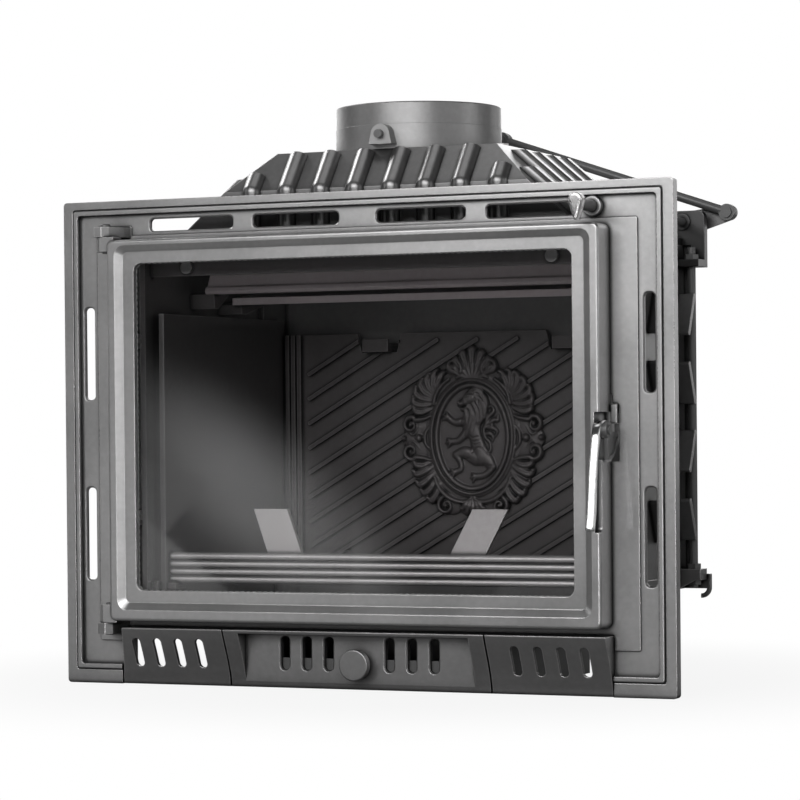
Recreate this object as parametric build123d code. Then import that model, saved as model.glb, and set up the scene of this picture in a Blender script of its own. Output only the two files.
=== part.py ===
"""A cast-iron fireplace insert: a glazed door in a flanged front, a ribbed firebox,
a hipped smoke hood with a round flue collar, a damper worked from the front by a
shaft and a parallel linkage, and a pull-out ash pan under the hearth.

Axes: +X to the right of someone facing the door, +Y into the wall, +Z up.
The pieces are drawn with Y = 0 on the flat border of the front and are moved back
as they are saved, so that the origin lies on the hearth straight below the flue.
All sizes are in millimetres.
"""
import math
import os

from build123d import *

os.makedirs("parts", exist_ok=True)

# ---------------------------------------------------------------- overall sizes
FLUE_SETBACK = 168.0      # flue axis behind the flat border of the front
FRONT_W = 700.0
FRONT_H = 522.0
FRONT_EDGE_D = 12.0       # depth of the turned-back outer edge
GAP = 0.3                 # between faces that pass one another
RUN = 0.05                # radial clearance of a pin or shaft that turns
FREE = 0.15               # radial clearance of a loose pin
FAR = 900.0               # further than any cut has to reach

# ---------------------------------------------------------------- door
DOOR_HALF = FRONT_W / 2 - 69.0
DOOR_LOW, DOOR_HIGH = 70.0, FRONT_H - 44.0
DOOR_CREST = -30.0        # proudest plane of the rim
DOOR_FLAT = -25.0         # flat band round the glass
DOOR_BACK = 2.7
DOOR_R = 7.0
RIM_SIDE, RIM_TOP, RIM_BOTTOM = 9.5, 6.0, 11.5
SLOPE_SIDE, SLOPE_TOP, SLOPE_BOTTOM = 8.0, 7.0, 8.0
SIGHT_HALF = DOOR_HALF - 30.5             # visible glass
SIGHT_LOW, SIGHT_HIGH = DOOR_LOW + 32.2, DOOR_HIGH - 25.3
SIGHT_R = 9.0
DOOR_PLATE_T = 6.0
HINGE_SIDE_BACK = -2.0    # the hinge side is shallower, to swing past the seal rib
ROPE_R = 4.5
ROPE_WALL = 4.0           # wall between the rope and the glass
ROPE_WALL_Y = -5.0
ROPE_HALF = DOOR_HALF - 12.5              # centre line of the door rope
ROPE_LOW, ROPE_HIGH = DOOR_LOW + 13.0, DOOR_HIGH - 10.5
GROOVE_FLOOR = -12.0
GLASS_T = 4.0
GLASS_LAP = 6.0
TAPE_T = 2.0

HINGE_X, HINGE_Y = -DOOR_HALF - 7.0, -18.0
HINGE_PIN_R = 3.5
EAR_R = 9.5
UP_EAR = (DOOR_HIGH - 12.0, DOOR_HIGH + 3.7)
LOW_EAR = (DOOR_LOW - 2.4, DOOR_LOW + 17.0)
UP_LUG = (UP_EAR[1] + GAP, UP_EAR[1] + 11.1)
LOW_LUG = (DOOR_LOW - 15.0, LOW_EAR[0] - GAP)
UP_FOOT, LOW_FOOT = DOOR_HALF - 13.0, DOOR_HALF - 7.5     # inner ends of the lugs

# ---------------------------------------------------------------- front casting
BORDER_SIDE = 12.5        # flat border outside the bead
BORDER_TOP = 9.5
BORDER_BOTTOM = 16.0
GROOVE_W = 1.4
BEAD_W = 5.0
BEAD_RISE = 1.5
PANEL_Y = 5.0             # face of the sunk panel
PANEL_BACK = 10.0
PAD_RISE = 1.5            # low pad round the door
PAD_HALF = DOOR_HALF + 29.5
PAD_LOW, PAD_HIGH = DOOR_LOW - 23.0, DOOR_HIGH + 6.0
PAD_STEP = 10.5           # the pad stands higher by this beside the upper lug
EDGE_T = 5.0
TOP_SLOT_L, TOP_SLOT_H, TOP_SLOT_Z = 100.0, 13.0, DOOR_HIGH + 17.0
TOP_SLOT_X = (72.0, 196.0)
SIDE_SLOT_W, SIDE_SLOT_L, SIDE_SLOT_X = 11.5, 100.0, DOOR_HALF + 41.0
SIDE_SLOT_Z = (162.0, 357.5)
SLOT_R = 4.5
SLOT_BEVEL = 1.5
APRON_BAY_HALF = DOOR_HALF + 1.5    # recess of the front behind the aprons
APRON_BAY_TOP = 63.0

MOUTH_HALF = SIGHT_HALF + 5.5             # firebox mouth
MOUTH_LOW, MOUTH_HIGH = SIGHT_LOW - 6.2, SIGHT_HIGH + 6.3
MOUTH_R = 8.0
LIP_T, LIP_Y = 4.5, -1.0
SEAL_RIB_T = 4.0

# ---------------------------------------------------------------- door latch
LATCH_Y, LATCH_Z = -20.0, 270.0
LATCH_PIN_R = 3.0
LEVER_X = (DOOR_HALF - 5.2, DOOR_HALF + 2.5)
CAM_X = (LEVER_X[1], LEVER_X[1] + 4.0)
CAM_R = 30.0
CAM_BAR = 5.0             # straight rib along the upper edge of the cam
CAM_DROP = 2.0
TOOTH_W = 3.8
KEEPER_LOW = LATCH_Z + 6.3                # under side of the keeper tongue
TOOTH_TOP = KEEPER_LOW - 0.6
POCKET_X = DOOR_HALF - 6.0
POCKET_Z = (LATCH_Z - 30.0, LATCH_Z + 18.0)
SCOOP_LOW = LATCH_Z - 98.0                # finger scoop behind the lever
NOTCH_X = (DOOR_HALF - 4.0, DOOR_HALF + 8.5)
NOTCH_Z = (LATCH_Z - 32.0, LATCH_Z + 27.0)
# side view of the lever, from the latch pin: its outer and its inner curve
LEVER_OUTER = ((-1, 9.5), (-13, 6), (-22, -12), (-30, -48), (-40, -99))
LEVER_INNER = ((-33.5, -101), (-24, -50), (-16, -16), (-8.5, -5), (-4, -7))

# ---------------------------------------------------------------- aprons and ash pan
APRON_TOP = 62.0
APRON_T = 5.0
APRON_JOINT = 150.0       # half width of the middle front, at the joint line
JOINT_GAP = 1.0
APRON_END_L, APRON_END_R = 1.0 - DOOR_HALF, APRON_BAY_HALF - GAP
APRON_SLANT = 9.0
# depth and height of the swept face, from its top edge down
SWEEP = ((-21.5, 60.5), (-14.0, 43.0), (-5.0, 22.0), (-1.2, 8.0), (-0.5, 1.0))
APRON_SLOT_PITCH = (DOOR_HALF - APRON_JOINT - 55.0) / 3
APRON_SLOT_X = [APRON_JOINT + 31.0 + i * APRON_SLOT_PITCH for i in range(4)]
MIDDLE_SLOT_X = (35.0, 60.5, 86.0)
APRON_SLOT_W = 10.0
APRON_SLOT_Z = (20.0, 51.0)
MIDDLE_SLOT_Z = (20.0, 55.0)
CHEEK_W = 17.0
KNOB_R, KNOB_Z = 16.5, 27.0
BOX_HALF, BOX_BACK, BOX_T = 150.0, 285.0, 3.0
PAN_HALF, PAN_HIGH, PAN_BACK = 143.0, 50.0, 252.0
PAN_LOW = BOX_T + GAP
PAN_T = 2.0

# ---------------------------------------------------------------- firebox shell
BASE_LOW, BASE_HIGH = 60.0, 110.0
WALL_IN, WALL_T = MOUTH_HALF, 8.0
WALL_OUT = WALL_IN + WALL_T
WALL_TOP = DOOR_HIGH - 8.0
TRAY_WALL = 6.7           # the tray is narrower than the walls below its rim
RIM_LOW = 96.0
BACK_Y, BACK_T = 284.0, 8.0
BACK_FLANGE_HALF = WALL_OUT + 10.0
BULGE_HALF, BULGE_Y = WALL_IN + 2.0, BACK_Y + 56.0
BULGE_LOW, BULGE_HIGH = 100.0, WALL_TOP - 14.0
BULGE_TAPER = 6.0
FIN_REACH, FIN_T, FIN_LONG, FIN_LEAN = 19.0, 6.0, 49.0, 24.0
FIN_Y = (92.0, 174.0, 254.0)
FIN_ROWS, FIN_ENDS = 4, (62.0, 76.0)       # rows, and their distance from the wall's ends
FIN_PITCH = (WALL_TOP - FIN_ENDS[1] - BASE_HIGH - FIN_ENDS[0]) / (FIN_ROWS - 1)
FIN_Z = [BASE_HIGH + FIN_ENDS[0] + i * FIN_PITCH for i in range(FIN_ROWS)]
FLOOR_T = 8.0

# ---------------------------------------------------------------- smoke hood
HOOD_FOOT, HOOD_FLANGE = WALL_TOP, 8.0
HOOD_KNEE = HOOD_FOOT + 60.0              # front wall stands up to here
HOOD_TOP = HOOD_FOOT + 102.0
HOOD_T = 7.0
HOOD_FRONT, HOOD_REAR = 45.0, BACK_Y + 7.0
TOP_FRONT, TOP_REAR, TOP_HALF = 78.0, 262.0, 128.0
FOOT_HALF = WALL_OUT - 29.0
FRONT_RIB_X = (21.0, 61.0, 101.0)
HALF_RIB_X = 143.0
FRONT_RIB_R, RIB_SINK = 11.5, 3.5         # only the front of this round bar stands out
RIB_TOP, HALF_RIB_TOP = HOOD_TOP - 5.0, HOOD_TOP - 27.0
SIDE_RIB_W, SIDE_RIB_RISE = 20.0, 14.0
HALF_SIDE_RIB_Y = 75.0
SIDE_RIB_Y = (115.0, 155.0, 195.0, 235.0)

# ---------------------------------------------------------------- flue collar and damper
COLLAR_R, COLLAR_T, COLLAR_TOP = 90.0, 6.0, HOOD_TOP + 50.0
COLLAR_EAR_T, COLLAR_BOLT_R = 4.5, 99.0
COLLAR_EARS = (0.0, 60.0, 120.0, 180.0)
AXLE_Z, AXLE_R = HOOD_TOP + 14.5, 4.5
LUG_FRONT, LUG_REAR = 64.0, 272.0
SPIGOT_LOW, BAND_STEP = HOOD_TOP + 26.5, 0.6    # the flue pipe slides down to a fine step
FLAP_R, FLAP_T = 81.0, 4.0
SHAFT_X, SHAFT_Z, SHAFT_R = WALL_OUT, DOOR_HIGH + 18.0, 4.5
STUB_R = 6.0
BOSS_R = 10.5
CRANK_DX, CRANK_DZ = 46.0, 10.0
CRANK_Y = (BACK_Y + 19.0, BACK_Y + 23.0)
LINK_Y, LINK_R = BACK_Y + 13.5, 5.0
LINK_EYE_R, LINK_EYE_T = 9.0, 9.0
LINK_PIN_R = 4.0
KNOB_Y = -45.0            # middle of the teardrop lever
TEAR_R, TEAR_T = 7.4, 11.0
TEAR_Z = SHAFT_Z + 3.5                    # its widest level
TEAR_LOW, TIP_R = DOOR_HIGH + 1.2, 2.4    # its round tip just clears the door

# ---------------------------------------------------------------- tie rods
TIE_X, TIE_Y, TIE_R = WALL_OUT + 13.0, BACK_Y - 13.0, 4.5
LOW_LEDGE = (106.0, BASE_HIGH + 8.0)
TOP_LEDGE = (HOOD_FOOT - 24.0, HOOD_FOOT - 16.0)
EAR_PLATE = (BACK_Y - 4.0, BACK_Y + 6.0)  # the plates that carry the upper ledges
NUT_H, NUT_R = 5.5, 8.0

# ---------------------------------------------------------------- side hooks
HOOK_X, HOOK_W = WALL_OUT + 27.0, 5.0
HOOK_Y = BACK_Y - 4.5

# ---------------------------------------------------------------- firebox fittings
LINER_T = 6.0
LINER_IN, LINER_TURN = WALL_IN - 14.0, 4.0       # inner face at the front, and how much it closes in
FIREBACK_Y, FIREBACK_T = BULGE_Y - 25.0, 7.0
FIREBACK_HALF = LINER_IN - 6.0
FIREBACK_DROP = 87.0      # its top edge below the hood
FIREBACK_LOW, FIREBACK_HIGH = BULGE_LOW + FLOOR_T, HOOD_FOOT - FIREBACK_DROP
FIREBACK_MID = (FIREBACK_LOW + FIREBACK_HIGH) / 2
FIREBACK_NOTCH = (28.0, 22.0, 22.0)       # half widths at its mouth and floor, and depth
EDGE_RIBS, EDGE_PITCH, EDGE_RIB_W, EDGE_RISE = 3, 7.5, 5.0, 4.0
RIB_PITCH, RIB_W, RIB_RISE, RIB_ANGLE = 28.5, 4.5, 3.0, 30.0
MEDAL_Z, MEDAL_A, MEDAL_B, MEDAL_RISE = FIREBACK_MID + 17.5, 70.0, 80.0, 2.5
OVAL_A, OVAL_B = 46.0, 61.0
HANGER_X = 117.0
LINTEL_LOW, LINTEL_Y = HOOD_FOOT - 30.0, (24.0, 30.0)
LINTEL_BOLT_X, LINTEL_BOLT_Z = SIGHT_HALF - 39.5, HOOD_FOOT - 21.0
GUARD_HALF, GUARD_LOW, GUARD_HIGH, GUARD_Y = LINER_IN - 1.0, 108.0, 141.0, 36.0
GUARD_T, BLADE_W, BLADE_T = 6.0, 40.0, 5.0
BLADE_X, BLADE_LEAN, BLADE_RISE = 106.5, (21.5, 10.0), 47.0        # above the rail
BAFFLE_HALF = LINER_IN - 6.0
BAFFLE_Z = HOOD_FOOT - 46.0
REAR_BAFFLE = ((178.0, BAFFLE_Z - 10.0), (BACK_Y + 16.0, BAFFLE_Z + 4.0))    # under side
BAFFLE_T = 8.0


# ---------------------------------------------------------------- shared helpers
def front_plane(y):
    """A drawing plane that faces the viewer at depth y: its axes are X and Z."""
    return Plane(origin=(0, y, 0), x_dir=(1, 0, 0), z_dir=(0, -1, 0))


def plate(sketch, y0, y1):
    """A sketch drawn in X and Z, as a plate from depth y0 back to y1."""
    return extrude(front_plane(y1) * sketch, amount=y1 - y0)


def panel(x0, x1, z0, z1, radius=0.0):
    """A rectangle in X and Z between its edges, with round corners."""
    shape = (
        RectangleRounded(x1 - x0, z1 - z0, radius)
        if radius
        else Rectangle(x1 - x0, z1 - z0)
    )
    return Pos((x0 + x1) / 2, (z0 + z1) / 2) * shape


def block(x0, x1, y0, y1, z0, z1):
    """A block between its six faces."""
    size = (x1 - x0, y1 - y0, z1 - z0)
    return Pos((x0 + x1) / 2, (y0 + y1) / 2, (z0 + z1) / 2) * Box(*size)


def bar_x(y, z, radius, x0, x1):
    """A round bar along X."""
    return Pos((x0 + x1) / 2, y, z) * Rot(0, 90, 0) * Cylinder(radius, x1 - x0)


def bar_y(x, z, radius, y0, y1):
    """A round bar along Y."""
    return Pos(x, (y0 + y1) / 2, z) * Rot(90, 0, 0) * Cylinder(radius, y1 - y0)


def bar_z(x, y, radius, z0, z1):
    """An upright round bar."""
    return Pos(x, y, (z0 + z1) / 2) * Cylinder(radius, z1 - z0)


def hex_z(x, y, radius, z0, z1):
    """An upright hexagon, for nuts and bolt heads."""
    return Pos(x, y, z0) * extrude(RegularPolygon(radius, 6), amount=z1 - z0)


def hex_y(x, z, radius, y0, y1):
    """A hexagon along Y."""
    return plate(Pos(x, z) * RegularPolygon(radius, 6), y0, y1)


def side_prism(points, x0, x1):
    """A closed outline of (y, z) points, as a slab from x0 to x1."""
    ends = [(y, z) for y, z in points]
    return Plane(origin=(x0, 0, 0), x_dir=(0, 1, 0), z_dir=(1, 0, 0)) * extrude(
        make_face(Polyline(*ends, close=True)), amount=x1 - x0
    )


def both_sides(shape):
    """A piece and its mirror image across the middle."""
    return shape + mirror(shape, about=Plane.YZ)


def flared_slot(x0, x1, z0, z1, radius, face_y, back_y):
    """The cutter of a rounded slot whose front edge is bevelled."""
    bore = plate(panel(x0, x1, z0, z1, radius), face_y - 1, back_y + 1)
    wide = panel(
        x0 - SLOT_BEVEL, x1 + SLOT_BEVEL, z0 - SLOT_BEVEL, z1 + SLOT_BEVEL, radius + SLOT_BEVEL
    )
    narrow = panel(x0, x1, z0, z1, radius)
    bevel = loft([front_plane(face_y) * wide, front_plane(face_y + SLOT_BEVEL) * narrow])
    return bore + bevel


def save(name, shape):
    """One piece of the part, moved so that the flue stands over the origin."""
    export_step(Pos(0, -FLUE_SETBACK, 0) * shape, f"parts/{name}.step")
    print(name, round(shape.volume / 1000, 1), "cm3")


# ---------------------------------------------------------------- front casting
def front_casting():
    """The flanged front: bead, sunk panel, pad, air slots, firebox mouth and lugs."""
    half_w = FRONT_W / 2
    body = plate(panel(-half_w, half_w, 0, FRONT_H, 4), 0, FRONT_EDGE_D)

    ring_x = half_w - BORDER_SIDE
    ring_low, ring_high = BORDER_BOTTOM, FRONT_H - BORDER_TOP
    sunk_x = ring_x - BEAD_W
    sunk_low, sunk_high = ring_low + BEAD_W, ring_high - BEAD_W
    ring = panel(-ring_x, ring_x, ring_low, ring_high, 3)
    sunk = panel(-sunk_x, sunk_x, sunk_low, sunk_high, 4)
    groove = panel(
        -ring_x - GROOVE_W, ring_x + GROOVE_W, ring_low - GROOVE_W, ring_high + GROOVE_W, 3
    )
    body -= plate(groove - ring, -1, GROOVE_W)
    bead = plate(ring, -BEAD_RISE, 1)
    bead = fillet(bead.edges().group_by(Axis.Y)[0], 1.2)
    body += bead
    body -= plate(sunk, -BEAD_RISE - 1, PANEL_Y)
    # the border is a turned-back edge, hollow behind
    hollow = panel(-half_w + EDGE_T, half_w - EDGE_T, EDGE_T, FRONT_H - EDGE_T)
    web = panel(-ring_x, ring_x, ring_low, ring_high)
    body -= plate(hollow - web, EDGE_T, FRONT_EDGE_D + 1)
    body -= plate(web, PANEL_BACK, FRONT_EDGE_D + 1)

    # low pad round the door, with a step up to the upper hinge lug
    pad_y = PANEL_Y - PAD_RISE
    body += plate(panel(-PAD_HALF, PAD_HALF, PAD_LOW, PAD_HIGH, 2), pad_y, PANEL_Y + 1)
    step = panel(-PAD_HALF, -UP_FOOT, PAD_HIGH - 10, PAD_HIGH + PAD_STEP, 2)
    body += plate(step, pad_y, PANEL_Y + 1)
    # sunk bay for the aprons, and room for the ash box behind the lower edge
    bay = panel(-APRON_BAY_HALF, APRON_BAY_HALF, -1, APRON_BAY_TOP)
    body -= plate(bay, -BEAD_RISE - 1, PANEL_Y)
    body -= block(-BOX_HALF, BOX_HALF, PANEL_BACK, FRONT_EDGE_D + 1, -1, BASE_LOW)

    # mouth with a raised lip, and the rib that presses on the door rope
    lip = plate(
        panel(
            -MOUTH_HALF - LIP_T, MOUTH_HALF + LIP_T, MOUTH_LOW - LIP_T, MOUTH_HIGH + LIP_T,
            MOUTH_R + LIP_T,
        ),
        LIP_Y,
        PANEL_Y + 1,
    )
    half = SEAL_RIB_T / 2
    rib_out = panel(-ROPE_HALF - half, ROPE_HALF + half, ROPE_LOW - half, ROPE_HIGH + half, 8)
    rib_in = panel(-ROPE_HALF + half, ROPE_HALF - half, ROPE_LOW + half, ROPE_HIGH - half, 5)
    body += lip + plate(rib_out - rib_in, GROOVE_FLOOR + 2 * ROPE_R + 1 + GAP, PANEL_Y + 1)
    body -= plate(
        panel(-MOUTH_HALF, MOUTH_HALF, MOUTH_LOW, MOUTH_HIGH, MOUTH_R), -20, FRONT_EDGE_D + 1
    )

    # air slots
    for x in TOP_SLOT_X:
        for side in (-1, 1):
            body -= flared_slot(
                side * x - TOP_SLOT_L / 2, side * x + TOP_SLOT_L / 2,
                TOP_SLOT_Z - TOP_SLOT_H / 2, TOP_SLOT_Z + TOP_SLOT_H / 2,
                SLOT_R, PANEL_Y, PANEL_BACK,
            )
    for z in SIDE_SLOT_Z:
        for side in (-1, 1):
            body -= flared_slot(
                side * SIDE_SLOT_X - SIDE_SLOT_W / 2, side * SIDE_SLOT_X + SIDE_SLOT_W / 2,
                z - SIDE_SLOT_L / 2, z + SIDE_SLOT_L / 2, SLOT_R, PANEL_Y, PANEL_BACK,
            )
    # openings behind the aprons and for the ash pan
    low, high = 14.0, 56.0
    for side in (-1, 1):
        near, far = sorted((side * (APRON_JOINT + 8), side * (APRON_BAY_HALF - 12)))
        body -= plate(panel(near, far, low, high, 4), 0, FRONT_EDGE_D + 1)
    pan = PAN_HALF + 3
    body -= plate(panel(-pan, pan, PAN_LOW - 1.3, PAN_HIGH + 4), 0, FRONT_EDGE_D + 1)

    # hinge lugs, one above and one below the door's ears
    for low, high, reach in (UP_LUG + (-UP_FOOT,), LOW_LUG + (-LOW_FOOT,)):
        plan = make_face(
            Polyline(
                (HINGE_X - EAR_R, PANEL_Y + 1), (HINGE_X - EAR_R, HINGE_Y - EAR_R + 1),
                (HINGE_X, HINGE_Y - EAR_R - 1), (-DOOR_HALF, HINGE_Y - 5),
                (reach - 4, -5), (reach, PANEL_Y + 1), close=True,
            )
        )
        lug = Pos(0, 0, low) * extrude(plan, amount=high - low)
        body += fillet(lug.edges().group_by(Axis.Y)[0], 1.5)
        body -= bar_z(HINGE_X, HINGE_Y, HINGE_PIN_R, low - 1, high + 1)

    # latch notch, with the narrow step at its top
    body -= plate(panel(*NOTCH_X, *NOTCH_Z, 1.5), -1, FRONT_EDGE_D + 1)
    body -= plate(panel(NOTCH_X[0], NOTCH_X[0] + 6, NOTCH_Z[1] - 3, NOTCH_Z[1] + 9, 2), -1, 13)

    # boss for the damper shaft
    boss = bar_y(SHAFT_X, SHAFT_Z, BOSS_R, -3, PANEL_Y + 1)
    body += fillet(boss.edges().group_by(Axis.Y)[0], 1.5)
    body -= bar_y(SHAFT_X, SHAFT_Z, STUB_R + RUN, -5, FRONT_EDGE_D + 1)

    # blind holes for the bolts that hold the firebox, and for the keeper's screws
    for x, z in FRONT_BOLTS:
        body -= bar_y(x, z, FRONT_BOLT_R, PANEL_Y + 1, FRONT_EDGE_D)
    for z in KEEPER_SCREW_Z:
        body -= bar_y(KEEPER_SCREW_X, z, KEEPER_SCREW_R, PANEL_Y + 0.5, FRONT_EDGE_D)
    return body


FRONT_BOLT_R = 3.0
BOLT_ROWS = (BASE_HIGH + 25.0, BASE_HIGH + 95.0, WALL_TOP - 40.0)
FRONT_BOLTS = [(s * (WALL_OUT + 11.0), z) for s in (-1, 1) for z in BOLT_ROWS]
KEEPER_SCREW_R, KEEPER_SCREW_X = 2.0, NOTCH_X[1] + 10.5
KEEPER_SCREW_Z = (LATCH_Z + 12.0, LATCH_Z + 22.0)

save("front_frame", front_casting())


def front_bolts():
    """Hex bolts through the wall ears into the back of the front."""
    bolts = []
    for x, z in FRONT_BOLTS:
        shank = bar_y(x, z, FRONT_BOLT_R, PANEL_Y + 1.5, PANEL_BACK + WALL_T)
        bolts.append(shank + hex_y(x, z, 6.5, PANEL_BACK + WALL_T, PANEL_BACK + WALL_T + 5))
    return Compound(bolts)


save("front_bolts", front_bolts())


# ---------------------------------------------------------------- side aprons
def sweep_profile(back_y, inset=0.0):
    """The swept outline of the aprons in Y and Z, moved inwards by a wall."""
    curve = Spline(*[(y + inset, z) for y, z in SWEEP])
    top = APRON_TOP - (0.8 * inset if inset else 0)
    first, last = SWEEP[0], SWEEP[-1]
    rest = Polyline(
        (last[0] + inset, last[1]), (back_y, last[1]), (back_y, top), (first[0] + inset, top),
        (first[0] + inset, first[1]),
    )
    return make_face(curve + rest)


def swept_block(x0, x1, back_y, inset=0.0):
    """The apron profile as a solid from x0 to x1."""
    side = Plane(origin=(x0, 0, 0), x_dir=(0, 1, 0), z_dir=(1, 0, 0))
    return extrude(side * sweep_profile(back_y, inset), amount=x1 - x0)


def slanted_end(x0, x1):
    """The region an apron keeps when its outer end leans in beside the hinge lug."""
    slant = APRON_SLANT / (APRON_TOP - 8)
    foot, head = x0 - 8 * slant, x0 + (99 - 8) * slant
    keep = Polyline((foot, 0), (head, 99), (x1 + 9, 99), (x1 + 9, 0), close=True)
    return plate(make_face(keep), -60, 30)


def side_apron(x0, x1):
    """A hollow apron with four upright slots and closed ends."""
    body = swept_block(x0, x1, PANEL_Y)
    hollow_start = x0 + APRON_T
    if x0 < 0:
        body = body & slanted_end(x0, x1)
        hollow_start += APRON_SLANT
    body -= swept_block(hollow_start, x1 - APRON_T, PANEL_Y + 1, APRON_T)
    side = 1 if x0 > 0 else -1
    for x in APRON_SLOT_X:
        slot = panel(
            side * x - APRON_SLOT_W / 2, side * x + APRON_SLOT_W / 2, *APRON_SLOT_Z, SLOT_R
        )
        body -= plate(slot, -30, PANEL_Y + 1)
    return body


save("apron_left", side_apron(APRON_END_L, -APRON_JOINT - JOINT_GAP))
save("apron_right", side_apron(APRON_JOINT + JOINT_GAP, APRON_END_R))


# ---------------------------------------------------------------- ash pan
def pan_front():
    """Middle front of the ash pan: shelf, two swept cheeks and a slotted face."""
    half = APRON_JOINT - JOINT_GAP
    back = PANEL_Y - GAP
    body = swept_block(-half, half, back)
    bay = half - CHEEK_W
    body -= block(-bay, bay, -40, -1.0, -1, APRON_TOP - 3.5)
    for x in MIDDLE_SLOT_X:
        for side in (-1, 1):
            body -= flared_slot(
                side * x - APRON_SLOT_W / 2, side * x + APRON_SLOT_W / 2, *MIDDLE_SLOT_Z,
                SLOT_R, -1.0, back,
            )
    body -= bar_y(0, KNOB_Z, KNOB_SCREW_R, -2, back + 1)
    return body


KNOB_SCREW_R = 3.0
save("ash_front", pan_front())

knob = bar_y(0, KNOB_Z, KNOB_R, -16.0, -9.0)
knob = fillet(knob.edges().group_by(Axis.Y)[0], 1.5)
knob += bar_y(0, KNOB_Z, 8.0, -9.5, -1.0)
knob -= bar_y(0, KNOB_Z, KNOB_SCREW_R, -11.0, 0)
save("ash_knob", knob)

knob_screw = bar_y(0, KNOB_Z, KNOB_SCREW_R, -10.5, PANEL_Y + PAN_T - GAP)
knob_screw += bar_y(0, KNOB_Z, 5.5, PANEL_Y + PAN_T - GAP, PANEL_Y + PAN_T + 3)
save("ash_knob_screw", knob_screw)

pan_y0 = PANEL_Y - GAP
pan = block(-PAN_HALF, PAN_HALF, pan_y0, PAN_BACK, PAN_LOW, PAN_HIGH)
pan = fillet(pan.edges().filter_by(Axis.Z), 5)
pan -= block(
    -PAN_HALF + PAN_T, PAN_HALF - PAN_T, pan_y0 + PAN_T, PAN_BACK - PAN_T, PAN_LOW + PAN_T, 99
)
for x in MIDDLE_SLOT_X:
    for side in (-1, 1):
        slot = panel(side * x - 5, side * x + 5, MIDDLE_SLOT_Z[0] + 12, PAN_HIGH + 5)
        pan -= plate(slot, pan_y0 - 1, pan_y0 + 2 * PAN_T)
pan -= bar_y(0, KNOB_Z, KNOB_SCREW_R, pan_y0 - 1, pan_y0 + 2 * PAN_T)
save("ash_pan", pan)

box = block(-BOX_HALF, BOX_HALF, PANEL_BACK, BOX_BACK, 0, BASE_LOW)
box -= block(-BOX_HALF + BOX_T, BOX_HALF - BOX_T, 0, BOX_BACK - BOX_T, BOX_T, BASE_LOW + 1)
save("ash_box", box)


# ---------------------------------------------------------------- firebox base and grate
GRATE = (-110.0, 110.0, 92.0, 232.0)
GRATE_LAP = 8.0


def base_casting():
    """The hearth tray, with a seat for the grate and the lower tie-rod ledges."""
    body = block(-WALL_OUT, WALL_OUT, PANEL_BACK, BACK_Y, RIM_LOW, BASE_HIGH)
    body += block(-WALL_IN, WALL_IN, PANEL_BACK, BACK_Y, BASE_LOW, RIM_LOW + 1)
    inner = WALL_IN - TRAY_WALL
    body -= block(-inner, inner, PANEL_BACK + WALL_T, FAR, BASE_LOW + FLOOR_T, FAR)
    body -= block(-WALL_IN, WALL_IN, 0, PANEL_BACK + WALL_T + 1, MOUTH_LOW - LIP_T, FAR)
    # ledges outside the walls for the lower ends of the tie rods
    y0, y1 = TIE_Y - 14, HOOK_Y - GAP
    ledge = block(WALL_OUT + GAP, TIE_X + 12, y0, y1, *LOW_LEDGE)
    ledge += block(WALL_OUT - 1, WALL_OUT + 2, y0, y1, LOW_LEDGE[0], BASE_HIGH)
    gusset = Polyline(
        (WALL_OUT - 1, LOW_LEDGE[0] + 1), (TIE_X + 8, LOW_LEDGE[0] + 1), (WALL_OUT - 1, RIM_LOW),
        close=True,
    )
    ledge += plate(make_face(gusset), y0, y0 + 5)
    ledge -= bar_z(TIE_X, TIE_Y, TIE_R, 0, FAR)
    body += both_sides(ledge)
    x0, x1, y0, y1 = GRATE
    body -= block(x0, x1, y0, y1, 0, FAR)
    # ribs that stiffen the tray from below, clear of the ash box
    for y in (60.0, 130.0, 200.0, 262.0):
        for side in (-1, 1):
            near, far = sorted((side * (BOX_HALF + 4), side * (WALL_IN - 4)))
            body += block(near, far, y - 3, y + 3, BASE_LOW - 5, BASE_LOW + 1)
    return body


save("base_tray", base_casting())

x0, x1, y0, y1 = GRATE
grate_low = BASE_LOW + FLOOR_T
grate = block(
    x0 - GRATE_LAP, x1 + GRATE_LAP, y0 - GRATE_LAP, y1 + GRATE_LAP, grate_low, grate_low + 8
)
for i in range(9):
    gx = x0 + 14 + i * (x1 - x0 - 28) / 8
    for ga, gb in ((y0 + 8, (y0 + y1) / 2 - 5), ((y0 + y1) / 2 + 5, y1 - 8)):
        grate -= Pos(gx, (ga + gb) / 2, grate_low + 4) * extrude(
            RectangleRounded(9, gb - ga, 4), amount=10, both=True
        )
save("grate", grate)


# ---------------------------------------------------------------- side walls and back
def fin(y, z, lean):
    """One leaning fin on the outside of a wall."""
    bar = RectangleRounded(FIN_T, FIN_LONG, 2.5)
    side = Plane(origin=(WALL_OUT - 1, y, z), x_dir=(0, 1, 0), z_dir=(1, 0, 0))
    return extrude(side * (Rot(0, 0, -lean) * bar), amount=FIN_REACH + 1)


def side_wall():
    """A firebox wall with a herringbone of fins and three bolting ears."""
    wall = block(WALL_IN, WALL_OUT, PANEL_BACK, BACK_Y, BASE_HIGH, WALL_TOP)
    for x, z in FRONT_BOLTS:
        if x > 0:
            ear = panel(WALL_OUT - 1, x + 9, z - 9, z + 9, 4) + panel(WALL_OUT - 1, x, z - 9, z + 9)
            wall += plate(ear, PANEL_BACK, PANEL_BACK + WALL_T)
            wall -= bar_y(x, z, FRONT_BOLT_R, 0, PANEL_BACK + WALL_T + 1)
    for y in FIN_Y:
        for i, z in enumerate(FIN_Z):
            wall += fin(y, z, FIN_LEAN if i % 2 else -FIN_LEAN)
    # long ribs between the columns of fins
    for y in (133.0, 214.0):
        wall += block(WALL_OUT - 1, WALL_OUT + 5, y - 2.5, y + 2.5, BASE_HIGH + 12, WALL_TOP - 14)
    return wall


wall_right = side_wall()
save("wall_right", wall_right)
save("wall_left", mirror(wall_right, about=Plane.YZ))


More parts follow.
